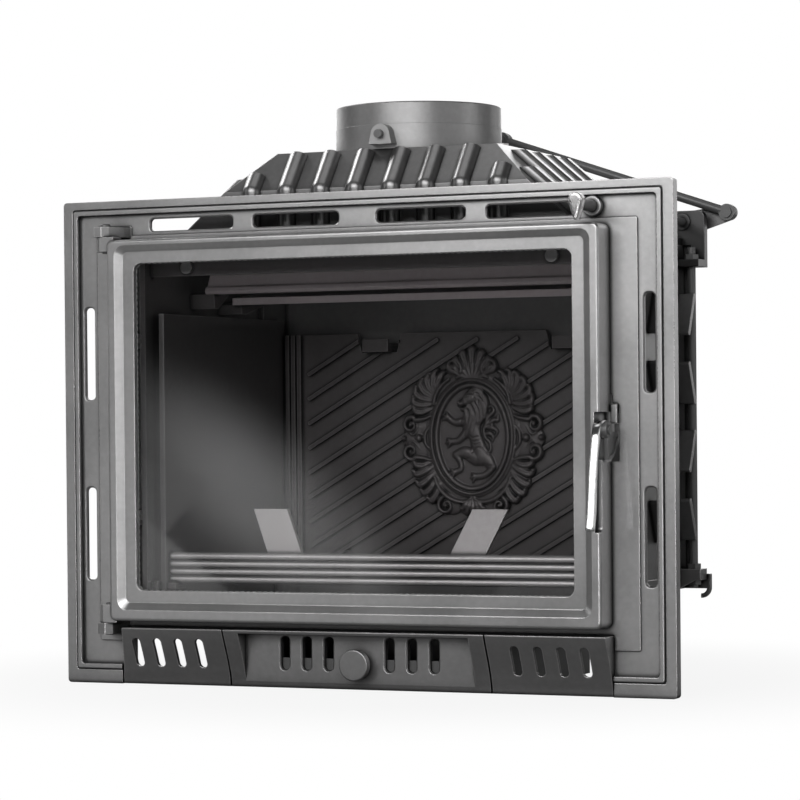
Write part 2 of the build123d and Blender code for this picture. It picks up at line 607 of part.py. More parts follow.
def back_wall():
    """The back, bulged to the rear behind the fireback, with upright ribs."""
    flange = panel(-BACK_FLANGE_HALF, BACK_FLANGE_HALF, RIM_LOW, WALL_TOP, 4)
    flange += panel(4 - WALL_IN, WALL_IN - 4, BASE_LOW, BULGE_LOW + FLOOR_T)
    body = plate(flange, BACK_Y, BACK_Y + BACK_T)

    def section(y, inset, taper):
        half = BULGE_HALF - inset - taper
        low, high = BULGE_LOW + inset, BULGE_HIGH - inset - taper
        return front_plane(y) * panel(-half, half, low, high, 4 if inset else 12)

    shell = loft([section(BACK_Y, 0, 0), section(BULGE_Y, 0, BULGE_TAPER)])
    hollow = loft([
        section(BACK_Y - 0.5, FLOOR_T, 0), section(BULGE_Y - BACK_T, FLOOR_T, BULGE_TAPER)
    ])
    body = body + shell - hollow
    for i in range(7):
        x = -180 + i * 60
        rib = panel(x - 5, x + 5, BULGE_LOW + 30, BULGE_HIGH - 34, 4)
        body += plate(rib, BULGE_Y - 1, BULGE_Y + 6)
    return body


save("back_wall", back_wall())


# ---------------------------------------------------------------- smoke hood
def hood_skin(inset, low, high):
    """The hipped form of the hood, moved inwards by a wall."""
    slope = (FOOT_HALF - TOP_HALF) / (HOOD_TOP - HOOD_FOOT - HOOD_FLANGE)

    def section(z, x, y0, y1):
        return Pos(0, (y0 + y1) / 2, z) * Rectangle(2 * (x - inset), y1 - y0 - 2 * inset)

    knee_x = TOP_HALF + slope * (high - HOOD_KNEE)
    lower = loft([
        section(low, FOOT_HALF, HOOD_FRONT, HOOD_REAR),
        section(HOOD_KNEE - inset / 2, knee_x, HOOD_FRONT, HOOD_REAR),
    ])
    upper = loft([
        section(HOOD_KNEE - inset / 2, knee_x, HOOD_FRONT, HOOD_REAR),
        section(high - inset, TOP_HALF, TOP_FRONT, TOP_REAR),
    ])
    return lower + upper


def front_rib(x, end_z):
    """A broad rounded rib up the front wall and over the knee."""
    lean = math.atan2(TOP_FRONT - HOOD_FRONT, HOOD_TOP - HOOD_KNEE)
    long = (end_z - HOOD_KNEE) / math.cos(lean)
    y, z = HOOD_FRONT + RIB_SINK, HOOD_KNEE - RIB_SINK * math.tan(lean / 2)
    foot = bar_z(x, y, FRONT_RIB_R, HOOD_FOOT + 6, z)
    run = Pos(x, y, z) * Rot(-math.degrees(lean), 0, 0) * Pos(0, 0, long / 2)
    return foot + Pos(x, y, z) * Sphere(FRONT_RIB_R) + run * Cylinder(FRONT_RIB_R, long)


def side_rib(y, top):
    """A tall rounded rib down the side slope, from a flat head."""
    slope = (FOOT_HALF - TOP_HALF) / (HOOD_TOP - HOOD_FOOT - HOOD_FLANGE)
    foot_z = HOOD_FOOT + HOOD_FLANGE
    start = TOP_HALF + slope * (HOOD_TOP - top)
    out = SIDE_RIB_RISE * math.hypot(1, slope)
    outline = Polyline(
        (start - 3, top), (start + out - 6, top), (FOOT_HALF + out - 6, foot_z + 2),
        (FOOT_HALF + out - 6, foot_z - 2), (FOOT_HALF - 12, foot_z - 2), (start - 12, top - 8),
        close=True,
    )
    rib = plate(make_face(outline), y - SIDE_RIB_W / 2, y + SIDE_RIB_W / 2)
    crest = [
        e for e in rib.edges()
        if e.center().X > start + out / 2 and abs(e.center().Y - y) > 1 and e.length > top - foot_z
    ]
    return fillet(crest, 6)


def smoke_hood():
    """Hood with flange, hips, ribs, flue opening and the two rear ledges."""
    foot = HOOD_FOOT + HOOD_FLANGE
    body = block(-WALL_OUT, WALL_OUT, PANEL_BACK, BACK_Y + BACK_T, HOOD_FOOT, foot)
    body += hood_skin(0, foot, HOOD_TOP)
    for x in FRONT_RIB_X:
        for side in (-1, 1):
            body += front_rib(side * x, RIB_TOP)
    for side in (-1, 1):
        body += front_rib(side * HALF_RIB_X, HALF_RIB_TOP)
    body += both_sides(side_rib(HALF_SIDE_RIB_Y, HALF_RIB_TOP))
    for y in SIDE_RIB_Y:
        body += both_sides(side_rib(y, RIB_TOP))
    body -= hood_skin(HOOD_T, HOOD_FOOT - 1, HOOD_TOP)
    body -= bar_z(0, FLUE_SETBACK, COLLAR_R - COLLAR_T, HOOD_TOP - HOOD_T - 5, HOOD_TOP + 1)
    for angle in COLLAR_EARS:
        bx, by = collar_bolt(angle)
        body -= bar_z(bx, by, 3.0, HOOD_TOP - HOOD_T - 2, HOOD_TOP + 1)
    # ear plates beside the back wall, with a ledge each for the tie rods
    outer = SHAFT_X + 25
    ear = panel(SHAFT_X - 12, outer, HOOD_FOOT, SHAFT_Z + 12, 8)
    ear += panel(SHAFT_X - 12, outer, HOOD_FOOT, SHAFT_Z)
    ear += panel(BACK_FLANGE_HALF + GAP, outer, TOP_LEDGE[0], HOOD_FOOT + 1)
    ears = plate(ear, *EAR_PLATE)
    ears += bar_y(SHAFT_X, SHAFT_Z, 9.0, EAR_PLATE[0] - 2, EAR_PLATE[1] + 1.5)
    ledge = block(WALL_OUT + GAP, outer, TIE_Y - 12, BACK_Y - GAP, *TOP_LEDGE)
    ears += ledge - bar_z(TIE_X, TIE_Y, TIE_R, 0, FAR)
    body += both_sides(ears)
    body -= bar_y(SHAFT_X, SHAFT_Z, SHAFT_R + RUN, TIE_Y, FAR)
    return body


def collar_bolt(angle):
    """Where a collar bolt stands."""
    a = math.radians(angle)
    return COLLAR_BOLT_R * math.cos(a), FLUE_SETBACK + COLLAR_BOLT_R * math.sin(a)


save("smoke_hood", smoke_hood())


# ---------------------------------------------------------------- flue collar
def flue_collar():
    """The flue spigot, with bolting ears and the two lugs that carry the axle."""
    centre = Pos(0, FLUE_SETBACK)
    body = Pos(0, FLUE_SETBACK, HOOD_TOP) * extrude(Circle(COLLAR_R), amount=COLLAR_TOP - HOOD_TOP)
    body = fillet(body.edges().group_by(Axis.Z)[-1], 1.2)
    band = Circle(COLLAR_R + BAND_STEP)
    body += centre * Pos(0, 0, HOOD_TOP) * extrude(band, amount=SPIGOT_LOW - HOOD_TOP)
    for angle in COLLAR_EARS:
        bx, by = collar_bolt(angle)
        arm = Rot(0, 0, angle) * Rectangle(COLLAR_BOLT_R, 16)
        ear = Pos(bx, by) * Circle(8) + Pos(bx / 2, (by + FLUE_SETBACK) / 2) * arm
        body += Pos(0, 0, HOOD_TOP) * extrude(ear, amount=COLLAR_EAR_T)
    for y0, y1 in ((LUG_FRONT, FLUE_SETBACK), (FLUE_SETBACK, LUG_REAR)):
        lug = Pos(0, AXLE_Z) * Circle(AXLE_R + 6.5)
        lug += make_face(Polyline(
            (-AXLE_R - 6.5, AXLE_Z), (AXLE_R + 6.5, AXLE_Z), (AXLE_R + 9, HOOD_TOP + 4),
            (-AXLE_R - 9, HOOD_TOP + 4), close=True,
        ))
        body += plate(lug, y0, y1)
    body -= centre * bar_z(0, 0, COLLAR_R - COLLAR_T, HOOD_TOP - 1, COLLAR_TOP + 1)
    body -= bar_y(0, AXLE_Z, AXLE_R + RUN, 0, 400)
    for angle in COLLAR_EARS:
        bx, by = collar_bolt(angle)
        body -= bar_z(bx, by, 3.0, HOOD_TOP - 1, HOOD_TOP + COLLAR_EAR_T + 1)
    return body


save("flue_collar", flue_collar())

collar_bolts = []
for angle in COLLAR_EARS:
    bx, by = collar_bolt(angle)
    head_z = HOOD_TOP + COLLAR_EAR_T
    collar_bolts.append(
        bar_z(bx, by, 3.0, HOOD_TOP - HOOD_T, head_z) + hex_z(bx, by, 6.5, head_z, head_z + 3.5)
    )
save("collar_bolts", Compound(collar_bolts))


# ---------------------------------------------------------------- tie rods
rods, nuts = [], []
for side in (-1, 1):
    low, high = LOW_LEDGE[0] - NUT_H - 3, TOP_LEDGE[1] + NUT_H + 8
    rods.append(bar_z(side * TIE_X, TIE_Y, TIE_R, low, high))
    for z in (LOW_LEDGE[0] - NUT_H, LOW_LEDGE[1], TOP_LEDGE[1]):
        nut = hex_z(side * TIE_X, TIE_Y, NUT_R, z, z + NUT_H)
        nuts.append(nut - bar_z(side * TIE_X, TIE_Y, TIE_R, z - 1, z + NUT_H + 1))
save("tie_rods", Compound(rods))
save("tie_nuts", Compound(nuts))


# ---------------------------------------------------------------- side hooks
def side_hook():
    """A flat strip from the tray's corner that ends in a J."""
    strip = block(WALL_OUT, HOOK_X, HOOK_Y, BACK_Y, RIM_LOW, BASE_HIGH)
    curl = RectangleRounded(HOOK_W, HOOK_W, 1.5)
    turn = RIM_LOW + 1
    path = Line((HOOK_X, BASE_HIGH + 2), (HOOK_X, turn))
    path += RadiusArc((HOOK_X, turn), (HOOK_X - 9, turn - 9), 9)
    wire = front_plane((HOOK_Y + BACK_Y) / 2) * path
    return strip + sweep(Plane(origin=wire @ 0, z_dir=wire % 0) * curl, path=wire)


hook_right = side_hook()
save("hook_right", hook_right)
save("hook_left", mirror(hook_right, about=Plane.YZ))


# ---------------------------------------------------------------- firebox fittings
LINER_Y = (26.0, FIREBACK_Y - 3.0)
LINER_DROP = 70.0         # its top edge below the hood
LINER_H = HOOD_FOOT - LINER_DROP - BASE_LOW - FLOOR_T


def liner():
    """A smooth side liner, set slightly closer at the back."""
    front, rear = LINER_IN, LINER_IN - LINER_TURN
    plan = Polyline(
        (front, LINER_Y[0]), (front + LINER_T, LINER_Y[0]), (rear + LINER_T, LINER_Y[1]),
        (rear, LINER_Y[1]), close=True,
    )
    plain = Pos(0, 0, BASE_LOW + FLOOR_T) * extrude(make_face(plan), amount=LINER_H)
    # its rear end stands on the floor of the bulge
    return plain - block(0, FAR, BACK_Y - GAP, FAR, 0, BULGE_LOW + FLOOR_T)


liner_right = liner()
save("liner_right", liner_right)
save("liner_left", mirror(liner_right, about=Plane.YZ))


def diagonal_ribs():
    """Narrow slanting ribs that fill the fireback's field."""
    x1 = FIREBACK_HALF - EDGE_RIBS * EDGE_PITCH - 6
    x0 = -x1
    z0, z1 = FIREBACK_LOW + 12, FIREBACK_HIGH - 8
    rise = math.tan(math.radians(RIB_ANGLE))
    ribs = []
    start = z0 - (x1 - x0) * rise
    count = int((z1 - start) / RIB_PITCH) + 1
    for i in range(count):
        base = start + i * RIB_PITCH
        xa, za = (x0, base) if base > z0 else (x0 + (z0 - base) / rise, z0)
        far = base + (x1 - x0) * rise
        xb, zb = (x1, far) if far < z1 else (x0 + (z1 - base) / rise, z1)
        long = math.hypot(xb - xa, zb - za)
        if long < 30:
            continue
        bar = Pos((xa + xb) / 2, (za + zb) / 2) * (
            Rot(0, 0, RIB_ANGLE) * RectangleRounded(long, RIB_W, RIB_W / 2 - 0.1)
        )
        ribs.append(bar)
    return ribs


def fireback():
    """The ribbed plate at the rear of the fire, notched on top, with its oval."""
    edge = FIREBACK_Y
    outline = panel(-FIREBACK_HALF, FIREBACK_HALF, FIREBACK_LOW, FIREBACK_HIGH, 3)
    body = plate(outline, edge, edge + FIREBACK_T)
    for bar in diagonal_ribs():
        body += plate(bar, edge - RIB_RISE, edge + 1)
    for side in (-1, 1):
        for i in range(EDGE_RIBS):
            outer = FIREBACK_HALF - i * EDGE_PITCH
            near, far = sorted((side * (outer - EDGE_RIB_W), side * outer))
            strip = panel(near, far, FIREBACK_LOW, FIREBACK_HIGH, 1)
            body += plate(strip, edge - EDGE_RISE, edge + 1)
        x = side * HANGER_X
        mouth, foot, deep = FIREBACK_NOTCH
        notch = Polyline(
            (x - mouth, FIREBACK_HIGH + 1), (x + mouth, FIREBACK_HIGH + 1),
            (x + foot, FIREBACK_HIGH - deep), (x - foot, FIREBACK_HIGH - deep), close=True,
        )
        body -= plate(make_face(notch), edge - 10, edge + FIREBACK_T + 1)
    medal = Pos(0, MEDAL_Z) * Ellipse(MEDAL_A, MEDAL_B)
    body += plate(medal, edge - MEDAL_RISE, edge + 1)
    oval = Pos(0, MEDAL_Z) * Ellipse(OVAL_A, OVAL_B)
    inner = Pos(0, MEDAL_Z) * Ellipse(OVAL_A - 4, OVAL_B - 4)
    body += plate(oval - inner, edge - MEDAL_RISE - 3, edge - MEDAL_RISE + 1)
    return body


save("fireback", fireback())

hangers = []
for side in (-1, 1):
    x, low = side * HANGER_X, FIREBACK_HIGH - 21.5
    arm = block(x - 16, x + 16, FIREBACK_Y - 12, BULGE_Y - BACK_T, low, low + 8.5)
    arm += block(x - 16, x + 16, FIREBACK_Y - 12, FIREBACK_Y - 7, low, low + 14.5)
    hangers.append(arm)
save("fireback_hangers", Compound(hangers))


def bent_plate(outline, half):
    """An outline in (y, z), as a plate across the firebox."""
    return side_prism(outline, -half, half)


front_baffle = bent_plate(
    [
        (114, BAFFLE_Z), (124, BAFFLE_Z), (126, BAFFLE_Z + 7), (142, WALL_TOP - GAP),
        (136, WALL_TOP - GAP), (118, BAFFLE_Z + 9), (113, BAFFLE_Z + 7), (111.5, BAFFLE_Z + 3),
    ],
    BAFFLE_HALF,
)
save("baffle_front", front_baffle)
(ya, za), (yb, zb) = REAR_BAFFLE
rear_baffle = bent_plate(
    [(ya, za), (yb, zb), (yb, zb + BAFFLE_T), (ya, za + BAFFLE_T)], BAFFLE_HALF
)
save("baffle_rear", rear_baffle)

baffle_lugs = []
lug_a, lug_b = 182.0, BACK_Y - GAP
for side in (-1, 1):
    near, far = sorted((side * (BAFFLE_HALF - 10), side * WALL_IN))
    rise = (zb - za) / (yb - ya)
    front = side_prism(
        [(116, BAFFLE_Z - 16), (124, BAFFLE_Z - 16), (150, BAFFLE_Z), (114, BAFFLE_Z)], near, far
    )
    rear = side_prism(
        [
            (lug_a, za - 10), (lug_a + 10, za - 10), (lug_b, za + (lug_b - ya) * rise),
            (lug_a, za + (lug_a - ya) * rise),
        ],
        near, far,
    )
    baffle_lugs += [front, rear]
save("baffle_lugs", Compound(baffle_lugs))

lintel = block(-WALL_IN, WALL_IN, *LINTEL_Y, LINTEL_LOW, HOOD_FOOT)
lintel_bolts = []
for side in (-1, 1):
    lintel -= bar_y(side * LINTEL_BOLT_X, LINTEL_BOLT_Z, 3.0, 20, 40)
    bolt = bar_y(side * LINTEL_BOLT_X, LINTEL_BOLT_Z, 3.0, LINTEL_Y[0] - 2, LINTEL_Y[1] + 1)
    bolt += bar_y(side * LINTEL_BOLT_X, LINTEL_BOLT_Z, 7.0, LINTEL_Y[0] - 3.5, LINTEL_Y[0])
    lintel_bolts.append(bolt)
save("lintel", lintel)
save("lintel_bolts", Compound(lintel_bolts))


# ---------------------------------------------------------------- log guard
def log_guard():
    """A fluted rail across the mouth of the fire."""
    rail = block(-GUARD_HALF, GUARD_HALF, GUARD_Y, GUARD_Y + GUARD_T, GUARD_LOW, GUARD_HIGH)
    pitch = (GUARD_HIGH - GUARD_LOW) / 4
    for i in range(4):
        z = GUARD_LOW + pitch * (i + 0.5)
        rail += bar_x(GUARD_Y, z, pitch / 2 - 0.6, -GUARD_HALF, GUARD_HALF)
    return rail


save("log_guard", log_guard())


def guard_blade():
    """A flat blade behind the rail that leans outwards and back above it."""

    def section(x, y, z):
        return Pos(x, y, z) * Rectangle(BLADE_W, BLADE_T)

    behind = GUARD_Y + GUARD_T + BLADE_T / 2
    out, back = BLADE_LEAN
    return loft(
        [
            section(BLADE_X, behind, GUARD_LOW + 8), section(BLADE_X, behind, GUARD_HIGH),
            section(BLADE_X + out, behind + back, GUARD_HIGH + BLADE_RISE),
        ],
        ruled=True,
    )


blade_right = guard_blade()
save("guard_blades", Compound([blade_right, mirror(blade_right, about=Plane.YZ)]))

guard_brackets = []
for side in (-1, 1):
    near, far = sorted((side * (GUARD_HALF - 10), side * (LINER_IN + 4)))
    seat = block(near, far, GUARD_Y - 8, GUARD_Y + 14, GUARD_LOW - 6, GUARD_LOW)
    guard_brackets.append(seat - (liner_right if side > 0 else mirror(liner_right, about=Plane.YZ)))
save("guard_brackets", Compound(guard_brackets))


# ---------------------------------------------------------------- door
def door_frame():
    """The door casting: raised rim, sloped step, flat sight band, rope groove, ears."""
    body = plate(panel(-DOOR_HALF, DOOR_HALF, DOOR_LOW, DOOR_HIGH, DOOR_R), DOOR_CREST, DOOR_BACK)
    body = fillet(body.edges().group_by(Axis.Y)[0], 3.0)
    rim = (DOOR_HALF - RIM_SIDE, DOOR_LOW + RIM_BOTTOM, DOOR_HIGH - RIM_TOP)
    flat = (rim[0] - SLOPE_SIDE, rim[1] + SLOPE_BOTTOM, rim[2] - SLOPE_TOP)
    body -= loft([
        front_plane(DOOR_CREST - 0.01) * panel(-rim[0], rim[0], rim[1], rim[2], 11),
        front_plane(DOOR_FLAT) * panel(-flat[0], flat[0], flat[1], flat[2], 6),
    ])
    body -= plate(
        panel(-SIGHT_HALF, SIGHT_HALF, SIGHT_LOW, SIGHT_HIGH, SIGHT_R), DOOR_CREST, DOOR_BACK + 1
    )
    wall = ROPE_R + ROPE_WALL
    inner = ROPE_HALF - wall
    bed_y = DOOR_FLAT + DOOR_PLATE_T
    body -= plate(
        panel(-inner, inner, ROPE_LOW + wall, ROPE_HIGH - wall, 6), bed_y, DOOR_BACK + 1
    )
    # the rope lies in a groove between an outer and a lower inner wall
    body -= plate(
        panel(
            -ROPE_HALF - ROPE_R, ROPE_HALF + ROPE_R, ROPE_LOW - ROPE_R, ROPE_HIGH + ROPE_R, 10
        ),
        ROPE_WALL_Y,
        DOOR_BACK + 1,
    )
    body -= plate(rope_band(ROPE_R), GROOVE_FLOOR, DOOR_BACK + 1)
    body -= block(
        -DOOR_HALF - 1, -ROPE_HALF + ROPE_R, HINGE_SIDE_BACK, DOOR_BACK + 1,
        DOOR_LOW - 1, DOOR_HIGH + 1,
    )

    for low, high in (UP_EAR, LOW_EAR):
        ear = Pos(HINGE_X, HINGE_Y) * Circle(EAR_R)
        ear += Pos((HINGE_X - DOOR_HALF) / 2 + 2, HINGE_Y) * Rectangle(
            abs(HINGE_X + DOOR_HALF) + 10, 2 * EAR_R
        )
        body += Pos(0, 0, low) * extrude(ear, amount=high - low)
        body -= bar_z(HINGE_X, HINGE_Y, HINGE_PIN_R + RUN, low - 1, high + 1)

    # pocket for the latch and finger scoop below it, in the right rim
    edge = DOOR_HALF + 2
    body -= block(POCKET_X, edge, DOOR_CREST - 1, DOOR_BACK + 1, *POCKET_Z)
    scoop = block(POCKET_X, edge, DOOR_CREST - 1, DOOR_CREST + 6, SCOOP_LOW, POCKET_Z[0] + 1)
    scoop += bar_x(DOOR_CREST, SCOOP_LOW + 1, 6, POCKET_X, edge)
    body -= scoop
    body -= bar_x(LATCH_Y, LATCH_Z, LATCH_PIN_R + RUN, PIN_END - 1, edge)
    for x, z in CLIP_AT:
        sx, sz = clip_screw(x, z)
        body -= bar_y(sx, sz, CLIP_SCREW_R, GROOVE_FLOOR - 6, DOOR_BACK)
    return body


PIN_END = DOOR_HALF - 16.0                # inner end of the latch pin


def rope_band(half):
    """The flat band that the door rope covers, in X and Z."""
    outer = panel(-ROPE_HALF - half, ROPE_HALF + half, ROPE_LOW - half, ROPE_HIGH + half, 10)
    inner = panel(
        -ROPE_HALF + half, ROPE_HALF - half, ROPE_LOW + half, ROPE_HIGH - half, max(10 - 2 * half, 1)
    )
    return outer - inner


CLIP_SCREW_R = 1.4
CLIP_CLEAR = 2.5          # the clips end this far outside the visible glass
CLIP_PAD, CLIP_T = 3.0, 1.5
CLIP_AT = [(s * (SIGHT_HALF - 50.5), z) for s in (-1, 1) for z in (SIGHT_LOW, SIGHT_HIGH)]
CLIP_AT += [(0.0, SIGHT_LOW), (0.0, SIGHT_HIGH)]
CLIP_AT += [(s * SIGHT_HALF, z) for s in (-1, 1) for z in (LATCH_Z - 90.0, LATCH_Z + 100.0)]


def clip_screw(x, z):
    """Where a clip's screw enters the wall beside the glass."""
    wall = ROPE_R + ROPE_WALL / 2
    if abs(x) > SIGHT_HALF - 1:
        return math.copysign(ROPE_HALF - wall, x), z
    return x, (ROPE_LOW + wall) if z < LATCH_Z else (ROPE_HIGH - wall)


save("door_frame", door_frame())

rope = plate(rope_band(ROPE_R - 0.5), GROOVE_FLOOR, GROOVE_FLOOR + 2 * ROPE_R + 1)
rope = fillet(rope.edges().group_by(Axis.Y)[-1], 3.5)
save("door_rope", rope)

glass_half = SIGHT_HALF + GLASS_LAP
glass_low, glass_high = SIGHT_LOW - GLASS_LAP, SIGHT_HIGH + GLASS_LAP - 1.5
tape_y = DOOR_FLAT + DOOR_PLATE_T
tape = panel(-glass_half, glass_half, glass_low, glass_high, 4) - panel(
    -SIGHT_HALF - 1.5, SIGHT_HALF + 1.5, SIGHT_LOW - 1.5, SIGHT_HIGH + 1.5, SIGHT_R
)
save("glass_tape", plate(tape, tape_y, tape_y + TAPE_T))
glass_y = tape_y + TAPE_T
glass = plate(panel(-glass_half, glass_half, glass_low, glass_high, 4), glass_y, glass_y + GLASS_T)
save("door_glass", glass)


def glass_clips():
    """Small clips that hold the pane, and their screws."""
    clips, screws = [], []
    clip_y = glass_y + GLASS_T
    for x, z in CLIP_AT:
        sx, sz = clip_screw(x, z)
        if abs(x) > SIGHT_HALF - 1:
            out = math.copysign(1, x)
            end = out * (SIGHT_HALF + CLIP_CLEAR)
            tab = panel(*sorted((end, sx + out * ROPE_WALL / 2)), z - 8, z + 8, 1.2)
            pad = panel(*sorted((end, end + out * CLIP_PAD)), z - 2.5, z + 2.5)
        else:
            out = math.copysign(1, z - LATCH_Z)
            end = z + out * CLIP_CLEAR
            tab = panel(x - 8, x + 8, *sorted((end, sz + out * ROPE_WALL / 2)), 1.2)
            pad = panel(x - 2.5, x + 2.5, *sorted((end, end + out * CLIP_PAD)))
        front, back = ROPE_WALL_Y, ROPE_WALL_Y + CLIP_T
        clip = plate(tab, front, back)
        clip += plate(pad, clip_y, back - 0.5)
        clip -= bar_y(sx, sz, CLIP_SCREW_R, -20, 5)
        clips.append(clip)
        screws.append(
            bar_y(sx, sz, CLIP_SCREW_R, GROOVE_FLOOR - 5, back)
            + bar_y(sx, sz, 2.8, back, back + 1.5)
        )
    return Compound(clips), Compound(screws)


clips, clip_screws = glass_clips()
save("glass_clips", clips)
save("clip_screws", clip_screws)

pin_up = bar_z(HINGE_X, HINGE_Y, HINGE_PIN_R, UP_EAR[0] - 2, UP_LUG[1])
head = Pos(HINGE_X, HINGE_Y, UP_LUG[1]) * extrude(Circle(5.5), amount=3.6)
pin_up += fillet(head.edges().group_by(Axis.Z)[-1], 2.2)
save("hinge_pin_upper", pin_up)
pin_low = bar_z(HINGE_X, HINGE_Y, HINGE_PIN_R, LOW_LUG[0] - 1, LOW_EAR[1] + 2)
save("hinge_pin_lower", chamfer(pin_low.edges().group_by(Axis.Z)[-1], 0.8))


# ---------------------------------------------------------------- latch
def latch_lever():
    """The curved pull: a hub on the latch pin and a flat blade that hangs in front."""
    outer, inner = Spline(*LEVER_OUTER), Spline(*LEVER_INNER)
    tip, back = Line(outer @ 1, inner @ 0), Line(inner @ 1, outer @ 0)
    centre = (LEVER_X[0], LATCH_Y, LATCH_Z)
    side = Plane(origin=centre, x_dir=(0, 1, 0), z_dir=(1, 0, 0))
    blade = extrude(side * make_face(outer + tip + inner + back), amount=LEVER_X[1] - LEVER_X[0])
    blade = fillet(blade.edges().group_by(Axis.Z)[0], 1.2)
    body = blade + bar_x(LATCH_Y, LATCH_Z, 9.5, *LEVER_X)
    return body - bar_x(LATCH_Y, LATCH_Z, LATCH_PIN_R, 0, FAR)


save("latch_lever", latch_lever())


def latch_cam():
    """A quarter disc with a straight upper bar, thinner inside its rim."""
    side = Plane(origin=(CAM_X[0], LATCH_Y, LATCH_Z), x_dir=(0, 1, 0), z_dir=(1, 0, 0))
    quarter = Circle(CAM_R) & (Pos(CAM_R / 2 - 2, -CAM_R / 2 - CAM_DROP) * Rectangle(CAM_R + 4, CAM_R))
    web = Circle(CAM_R - 4) & (Pos(CAM_R / 2, -CAM_R / 2 - CAM_DROP) * Rectangle(CAM_R, CAM_R))
    bar = Pos(CAM_R / 2, -CAM_DROP - CAM_BAR / 2) * Rectangle(CAM_R, CAM_BAR)
    tooth = panel(CAM_R - TOOTH_W, CAM_R - 0.6, -CAM_DROP - 1, TOOTH_TOP - LATCH_Z, 1)
    full = extrude(side * (quarter + Circle(9) + tooth), amount=CAM_X[1] - CAM_X[0])
    dip = extrude(side * (web - Circle(10) - bar), amount=1.5)
    dip = Pos(CAM_X[1] - CAM_X[0] - 1.2, 0, 0) * dip
    return full - dip - bar_x(LATCH_Y, LATCH_Z, LATCH_PIN_R, 0, FAR)


save("latch_cam", latch_cam())
latch_pin = bar_x(LATCH_Y, LATCH_Z, LATCH_PIN_R, PIN_END, CAM_X[1] + 1)
latch_pin += bar_x(LATCH_Y, LATCH_Z, 5, CAM_X[1], CAM_X[1] + 1.5)
save("latch_pin", latch_pin)

tongue_x = (CAM_X[0] - 2, NOTCH_X[1] - 0.5)
keeper = block(*tongue_x, -1, 4, KEEPER_LOW, NOTCH_Z[1] - 1)
keeper = fillet(keeper.edges().group_by(Axis.Y)[0], 1.2)
keeper += block(*tongue_x, 3, PANEL_BACK + 3, NOTCH_Z[1] - 10, NOTCH_Z[1] - 1)
keeper += block(
    tongue_x[1] - 1, KEEPER_SCREW_X + 7, PANEL_BACK, PANEL_BACK + 3, KEEPER_LOW, NOTCH_Z[1] + 3
)
keeper -= block(0, NOTCH_X[1] + 0.5, PANEL_BACK - 1, FAR, 0, NOTCH_Z[1] - 10)
keeper_screws = []
for z in KEEPER_SCREW_Z:
    keeper -= bar_y(KEEPER_SCREW_X, z, KEEPER_SCREW_R, 0, 20)
    screw = bar_y(KEEPER_SCREW_X, z, KEEPER_SCREW_R, PANEL_Y + 1, PANEL_BACK + 3)
    keeper_screws.append(screw + bar_y(KEEPER_SCREW_X, z, 3.8, PANEL_BACK + 3, PANEL_BACK + 6))
save("latch_keeper", keeper)
save("keeper_screws", Compound(keeper_screws))


# ---------------------------------------------------------------- damper
def control_lever():
    """The teardrop that hangs on the front end of the damper shaft."""
    tip_z = TEAR_LOW + TIP_R
    nz = (TIP_R - TEAR_R) / (TEAR_Z - tip_z)
    nx = math.sqrt(1 - nz * nz)
    flanks = [
        (SHAFT_X + side * radius * nx, z + radius * nz)
        for side, radius, z in (
            (-1, TIP_R, tip_z), (1, TIP_R, tip_z), (1, TEAR_R, TEAR_Z), (-1, TEAR_R, TEAR_Z)
        )
    ]
    drop = Pos(SHAFT_X, tip_z) * Circle(TIP_R) + Pos(SHAFT_X, TEAR_Z) * Circle(TEAR_R)
    drop += make_face(Polyline(*flanks, close=True))
    body = plate(drop, KNOB_Y - TEAR_T / 2, KNOB_Y + TEAR_T / 2)
    body = fillet(body.edges().group_by(Axis.Y)[0], 1.6)
    return body - bar_y(SHAFT_X, SHAFT_Z, SHAFT_R, KNOB_Y, 0)


save("damper_lever", control_lever())

shaft = bar_y(SHAFT_X, SHAFT_Z, STUB_R, KNOB_Y + TEAR_T / 2, PANEL_BACK + 2)
shaft += bar_y(SHAFT_X, SHAFT_Z, SHAFT_R, KNOB_Y + 1, CRANK_Y[1])
save("damper_shaft", shaft)


def crank(x, z, wide):
    """A tapered crank plate from an axle to its link pin."""
    hub, eye = Pos(x, z) * Circle(wide), Pos(x + CRANK_DX, z + CRANK_DZ) * Circle(8.5)
    reach = math.hypot(CRANK_DX, CRANK_DZ)
    ux, uz = CRANK_DX / reach, CRANK_DZ / reach
    web = make_face(Polyline(
        (x - uz * wide, z + ux * wide), (x + CRANK_DX - uz * 8.5, z + CRANK_DZ + ux * 8.5),
        (x + CRANK_DX + uz * 8.5, z + CRANK_DZ - ux * 8.5), (x + uz * wide, z - ux * wide),
        close=True,
    ))
    body = plate(hub + eye + web, *CRANK_Y)
    body -= bar_y(x + CRANK_DX, z + CRANK_DZ, LINK_PIN_R, 200, 400)
    return body - bar_y(x, z, SHAFT_R, 200, 400)


save("crank_control", crank(SHAFT_X, SHAFT_Z, 13.0))
save("crank_flap", crank(0, AXLE_Z, 10.0))


def link_pin(x, z):
    """The pin of one crank, with a head in front of the link."""
    front = LINK_Y - LINK_EYE_T / 2 - GAP
    return bar_y(x, z, LINK_PIN_R, front, CRANK_Y[1] + 2) + bar_y(x, z, 6, front - 2, front)


save("link_pin_control", link_pin(SHAFT_X + CRANK_DX, SHAFT_Z + CRANK_DZ))
save("link_pin_flap", link_pin(CRANK_DX, AXLE_Z + CRANK_DZ))


